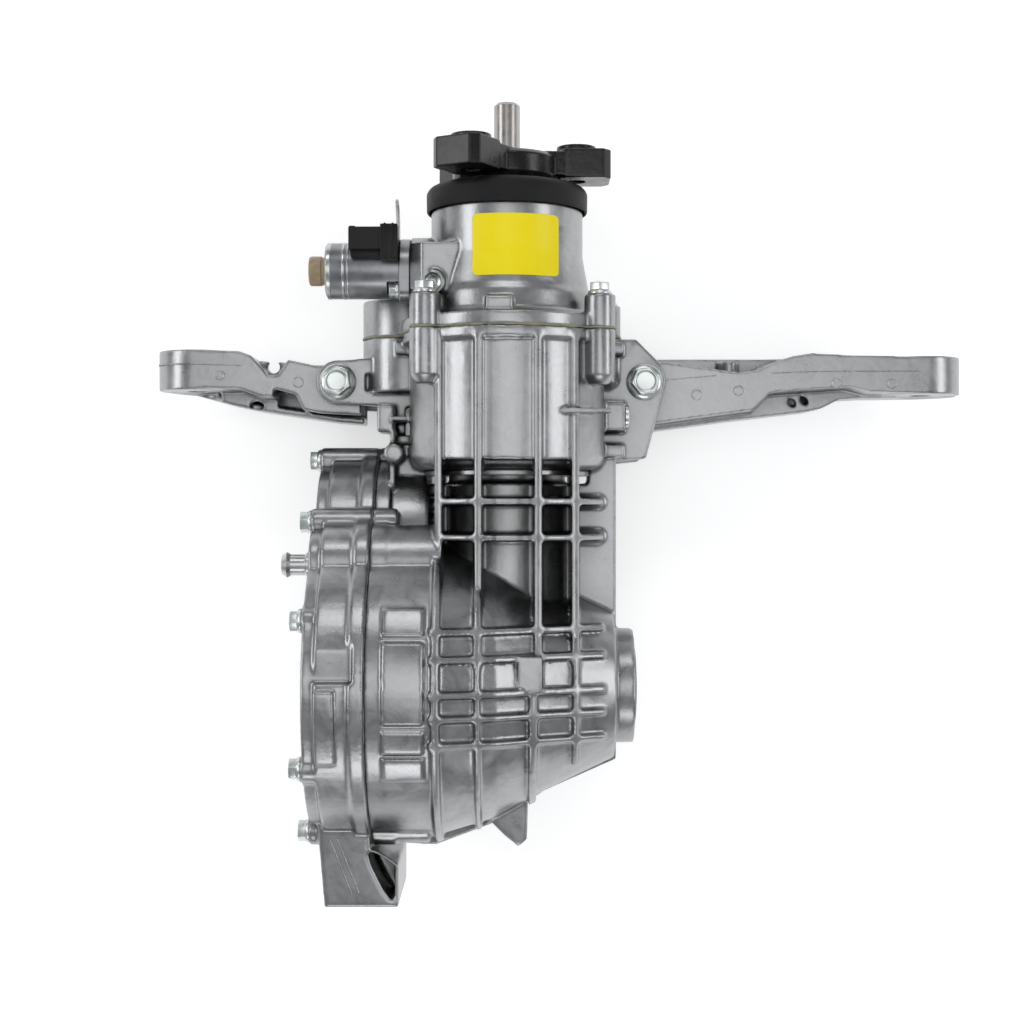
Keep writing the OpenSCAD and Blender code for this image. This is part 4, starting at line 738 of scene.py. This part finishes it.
bandSet = {"axis": (288.0, 10.0), "inner": 18.9, "edge": 19.3, "outer": 19.4, "slope": 0.35,
    "bands": ((-122.6, 1.5, 0.16), (-112.4, 1.0, 0.2), (-109.2, 0.7, 0.1))}
bands = bmesh.new()
for bandX, wide, high in bandSet["bands"]:
    crest, shoulder = bandSet["outer"] + high, wide - bandSet["slope"]
    band = turnedPart([(bandSet["inner"], -wide), (bandSet["edge"], -wide), (crest, -shoulder), (crest, shoulder),
        (bandSet["edge"], wide), (bandSet["inner"], wide), (bandSet["inner"], -wide)], 96)
    joinPart(bands, band, axisPlace((bandX, *bandSet["axis"]), (-1, 0, 0)))
addPiece("valveBands", bands, turnedAcross, "housing")
print("valve ready")

# shaft seals: rubber body with sealing lip and dust lip, pressed case, garter spring, and the machined rim round them
sealSet = {"faces": ((87.5, 1), (-133.0, -1)), "spring": 21.9, "springDepth": -7.2, "springWidth": 0.62,
    "body": [(30.4, -9.6), (30.95, -9.0), (30.95, -1.4), (30.3, -0.6), (29.2, 0.4), (28.4, 1.1), (27.4, 1.3),
        (25.4, 1.2), (24.2, 0.2), (22.6, -1.0), (20.4, -0.9), (19.06, -1.6), (20.2, -2.6), (21.2, -3.4),
        (20.6, -5.2), (19.06, -6.8), (20.6, -8.8), (22.4, -9.4), (23.6, -8.6), (23.8, -4.6), (27.6, -4.2),
        (28.2, -9.2), (30.4, -9.6)],
    "case": [(29.7, -0.3), (30.4, -0.2), (30.9, -0.6), (30.9, -1.5), (29.8, -1.5), (29.7, -0.3)],
    "rim": [(31.2, -0.4), (36.0, -0.4), (36.0, 0.06), (31.7, 0.06), (31.2, -0.4)]}


def sealRings(profile, faces):
    shape = bmesh.new()
    for face, side in faces:
        joinPart(shape, turnedPart(profile, 96), axisPlace((face, 0, 0), (side, 0, 0)))
    return shape


addPiece("rightSeal", sealRings(sealSet["body"], sealSet["faces"][:1]), blackRubber, "housing",
    ["right_seal"])
addPiece("leftSeal", sealRings(sealSet["body"], sealSet["faces"][1:]), blackRubber, "housing",
    ["left_seal"])
addPiece("sealCases", sealRings(sealSet["case"], sealSet["faces"]), bearingSteel, "housing")
addPiece("bossRims", sealRings(sealSet["rim"], sealSet["faces"]), turnedAluminium, "housing")
sealSprings = bmesh.new()
for face, side in sealSet["faces"]:
    coil = bmesh.new()
    around = [math.tau * step / 96 for step in range(96)]
    tubeAlong(coil, [(sealSet["spring"] * math.cos(angle), sealSet["spring"] * math.sin(angle),
        sealSet["springDepth"]) for angle in around], sealSet["springWidth"], closed=True, sides=12)
    joinPart(sealSprings, coil, axisPlace((face, 0, 0), (side, 0, 0)))
addPiece("sealSprings", sealSprings, bearingSteel, "housing")
print("seals ready")

# splines in the bores of the side gears
splineSet = {"count": 27, "tip": 13.55, "depth": 1.35, "half": 0.62, "from": 5.4, "to": 43.6, "start": -10.0}
for bodyName, side in (("left_side", -1), ("right_side", 1)):
    splines = bmesh.new()
    for tooth in range(splineSet["count"]):
        turn = Matrix.Rotation(math.tau * tooth / splineSet["count"], 4, "Z")
        inner = splineSet["tip"] - 0.75
        ridge = boxPart((inner, -splineSet["half"], splineSet["from"]), (inner + splineSet["depth"],
            splineSet["half"], splineSet["to"]), 0.22, 1)
        joinPart(splines, ridge, axisPlace((splineSet["start"], 0, 0), (side, 0, 0)) @ turn)
    addPiece(bodyName + "Splines", splines, bareSteel, bodyName)
print("splines ready")

# parting flash and ejector marks of the castings
flashWidth = 0.34
flashLines = {
    "leftPad": [(-254.05, 227.4, -52.0), (-251.6, 227.4, -40.0), (-246.0, 227.4, -34.2), (-236.0, 227.3, -30.4),
        (-226.0, 227.0, -29.95), (-206.0, 226.6, -29.95), (-190.0, 226.0, -29.95)],
    "rightRoot": [(114.0, 215.6, -29.95), (132.0, 217.4, -29.95), (150.0, 218.8, -29.95)],
    "rightPad": [(190.0, 220.6, -29.95), (214.0, 221.6, -29.95), (250.0, 222.0, -29.95), (286.0, 222.0, -29.95),
        (306.0, 221.8, -30.6), (322.0, 221.6, -38.0), (329.6, 221.4, -52.0)],
    "coverEdge": [(-118.0, -72.0, 69.6), (-118.0, -40.0, 92.6), (-118.0, -8.0, 100.6), (-118.0, 8.0, 100.6)],
}
flash = bmesh.new()
for points in flashLines.values():
    tubeAlong(flash, points, flashWidth, sides=6)
addPiece("partingFlash", flash, castAluminium, "housing")

ejectorMarks = [((-150.0, 214.0, -30.0), 3.4), ((-206.0, 219.0, -30.0), 3.0), ((136.0, 205.0, -30.0), 3.4),
    ((166.0, 208.0, -30.0), 3.2), ((236.0, 213.0, -30.0), 3.2), ((276.0, 213.0, -30.0), 3.2)]
marks = bmesh.new()
for place, radius in ejectorMarks:
    joinPart(marks, turnedPart([(0, -0.6), (radius + 0.5, -0.6), (radius + 0.5, 0.05), (radius + 0.2, 0.22),
        (radius - 0.15, 0.22), (radius - 0.4, 0.06), (0, 0.1)], 40), axisPlace(place, (0, 0, 1)))
addPiece("ejectorMarks", marks, castAluminium, "housing")
print("cast marks ready")

# valve barrel with its mounting plate, notched only where the screw sits
valveSet = {"at": (-66.0, 288.0, 10.0), "axis": (288.0, 10.0), "screw": (-74.0, 273.0, 24.0), "room": 6.5,
    "hole": 3.2, "plate": (-74.0, -66.0), "plateRadius": 22.0, "earRadius": 7.5,
    "barrel": [(0, -16.0), (8.2, -16.0), (8.8, -15.4), (8.8, 7.0), (19.35, 7.0), (19.35, 56.8), (18.9, 58.2),
        (17.8, 59.0), (12.0, 59.0), (11.6, 58.3), (0, 58.3)]}
barrel = turnedPart(valveSet["barrel"], 128)
bmesh.ops.transform(barrel, matrix=axisPlace(valveSet["at"], (-1, 0, 0)), verts=barrel.verts)
notch = turnedPart([(0, -1.0), (valveSet["room"], -1.0), (valveSet["room"], 7.6), (valveSet["room"] - 0.8, 8.4),
    (0, 8.4)], 48)
bmesh.ops.transform(notch, matrix=axisPlace(valveSet["screw"], (-1, 0, 0)), verts=notch.verts)
valveBody = cutPart(barrel, notch)
# plate drawn in (y, z) and stood on the X axis
standOnX = Matrix(((0, 0, 1, 0), (1, 0, 0, 0), (0, 1, 0, 0), (0, 0, 0, 1)))
plate = roundPlate([(valveSet["axis"], valveSet["plateRadius"]), (valveSet["screw"][1:], valveSet["earRadius"])],
    *valveSet["plate"], 0.9)
plateHole = turnedPart([(0, -76.0), (valveSet["hole"], -76.0), (valveSet["hole"], -64.0), (0, -64.0)], 40)
bmesh.ops.translate(plateHole, verts=plateHole.verts, vec=(*valveSet["screw"][1:], 0))
plate = cutPart(plate, plateHole)
bmesh.ops.transform(plate, matrix=standOnX, verts=plate.verts)
joinPart(valveBody, plate)
addPiece("valveBody", valveBody, dullZinc, "housing", ["solenoid_body"])

# bracket blade, bent a little at its free end
bladeSet = {"tip": (330.0, 16.0), "root": (312.0, 16.0), "radius": 6.9, "faces": (-76.0, -74.0), "hole": 3.3,
    "bendFrom": 318.0, "bend": 0.9}
blade = roundPlate([(bladeSet["tip"], bladeSet["radius"]), (bladeSet["root"], bladeSet["radius"])],
    *bladeSet["faces"], 0.4)
bladeHole = turnedPart([(0, -78.0), (bladeSet["hole"], -78.0), (bladeSet["hole"], -72.0), (0, -72.0)], 40)
bmesh.ops.translate(bladeHole, verts=bladeHole.verts, vec=(*bladeSet["tip"], 0))
blade = cutPart(blade, bladeHole)
bmesh.ops.transform(blade, matrix=standOnX, verts=blade.verts)
for cutY in (318.0, 320.0, 322.0, 324.0, 327.0, 330.0, 333.0):
    bmesh.ops.bisect_plane(blade, geom=blade.verts[:] + blade.edges[:] + blade.faces[:], dist=0.0001,
        plane_co=(0, cutY, 0), plane_no=(0, 1, 0))
for vert in blade.verts:
    vert.co.x -= bladeSet["bend"] * max(0.0, (vert.co.y - bladeSet["bendFrom"]) / 19.0) ** 1.5
addPiece("valveBracket", blade, bareSteel, "housing", ["solenoid_bracket"])
print("valve body ready")

# dust shield with a rolled lip
shieldProfile = [(36.05, 337.2), (51.0, 337.2), (52.8, 336.9), (54.0, 335.8), (54.3, 334.4), (54.3, 330.4),
    (54.6, 329.5), (55.15, 329.05), (55.7, 329.4), (56.0, 330.2), (56.15, 341.4), (55.8, 342.8), (54.9, 344.4),
    (53.4, 345.9), (51.6, 346.8), (49.0, 347.4), (44.6, 347.45), (44.2, 346.7), (41.8, 346.7), (41.4, 347.45),
    (36.05, 347.45), (36.05, 337.2)]
standOnY = Matrix(((1, 0, 0, 0), (0, 0, 1, 0), (0, -1, 0, 0), (0, 0, 0, 1)))
shield = turnedPart(shieldProfile, 128)
bmesh.ops.transform(shield, matrix=standOnY, verts=shield.verts)
addPiece("dustShield", shield, blackRubber, "input", ["dust_shield"])
print("shield ready")

# two raised lines of the foot, lost in the softened casting
footSet = {"starts": ((-119.4, -99.0), (-114.4, -99.0)), "slant": math.radians(-68.0), "height": 45.9,
    "width": 0.62, "length": 40}
footLines = bmesh.new()
for startX, startY in footSet["starts"]:
    tubeAlong(footLines, [(startX + reach * math.cos(footSet["slant"]), startY + reach * math.sin(footSet["slant"]),
        footSet["height"]) for reach in range(0, footSet["length"] + 1, 8)], footSet["width"], sides=8)
addPiece("footLines", footLines, castAluminium, "housing")

# filler plug with a hexagon socket, and the dished passage plug
fillerSet = {"at": (83.0, 188.0, -11.0), "key": 3.4, "keyDepth": 4.0, "profile": [(0, -8.0), (6.4, -8.0),
    (6.4, 0.0), (8.1, 0.0), (8.45, 0.35), (8.45, 2.4), (7.9, 2.95), (4.9, 2.95), (4.5, 2.7), (0, 2.7)]}
passageSet = {"at": (-50.0, 276.5, 36.2), "profile": [(0, 0), (5.4, 0), (5.4, 4.3), (5.15, 4.45), (4.2, 3.7),
    (2.6, 3.12), (1.2, 2.87), (0, 2.8)]}
plugs = bmesh.new()
key = hexPart(fillerSet["key"], 10.0, 0.3)
bmesh.ops.translate(key, verts=key.verts, vec=(0, 0, -fillerSet["keyDepth"]))
joinPart(plugs, cutPart(turnedPart(fillerSet["profile"], 64), key), axisPlace(fillerSet["at"], (1, 0, 0)))
joinPart(plugs, turnedPart(passageSet["profile"], 48), axisPlace(passageSet["at"], (0, 0, 1)))
addPiece("plugs", plugs, zincPlate, "housing", ["fill_plug", "passage_plug"])
print("plugs ready")
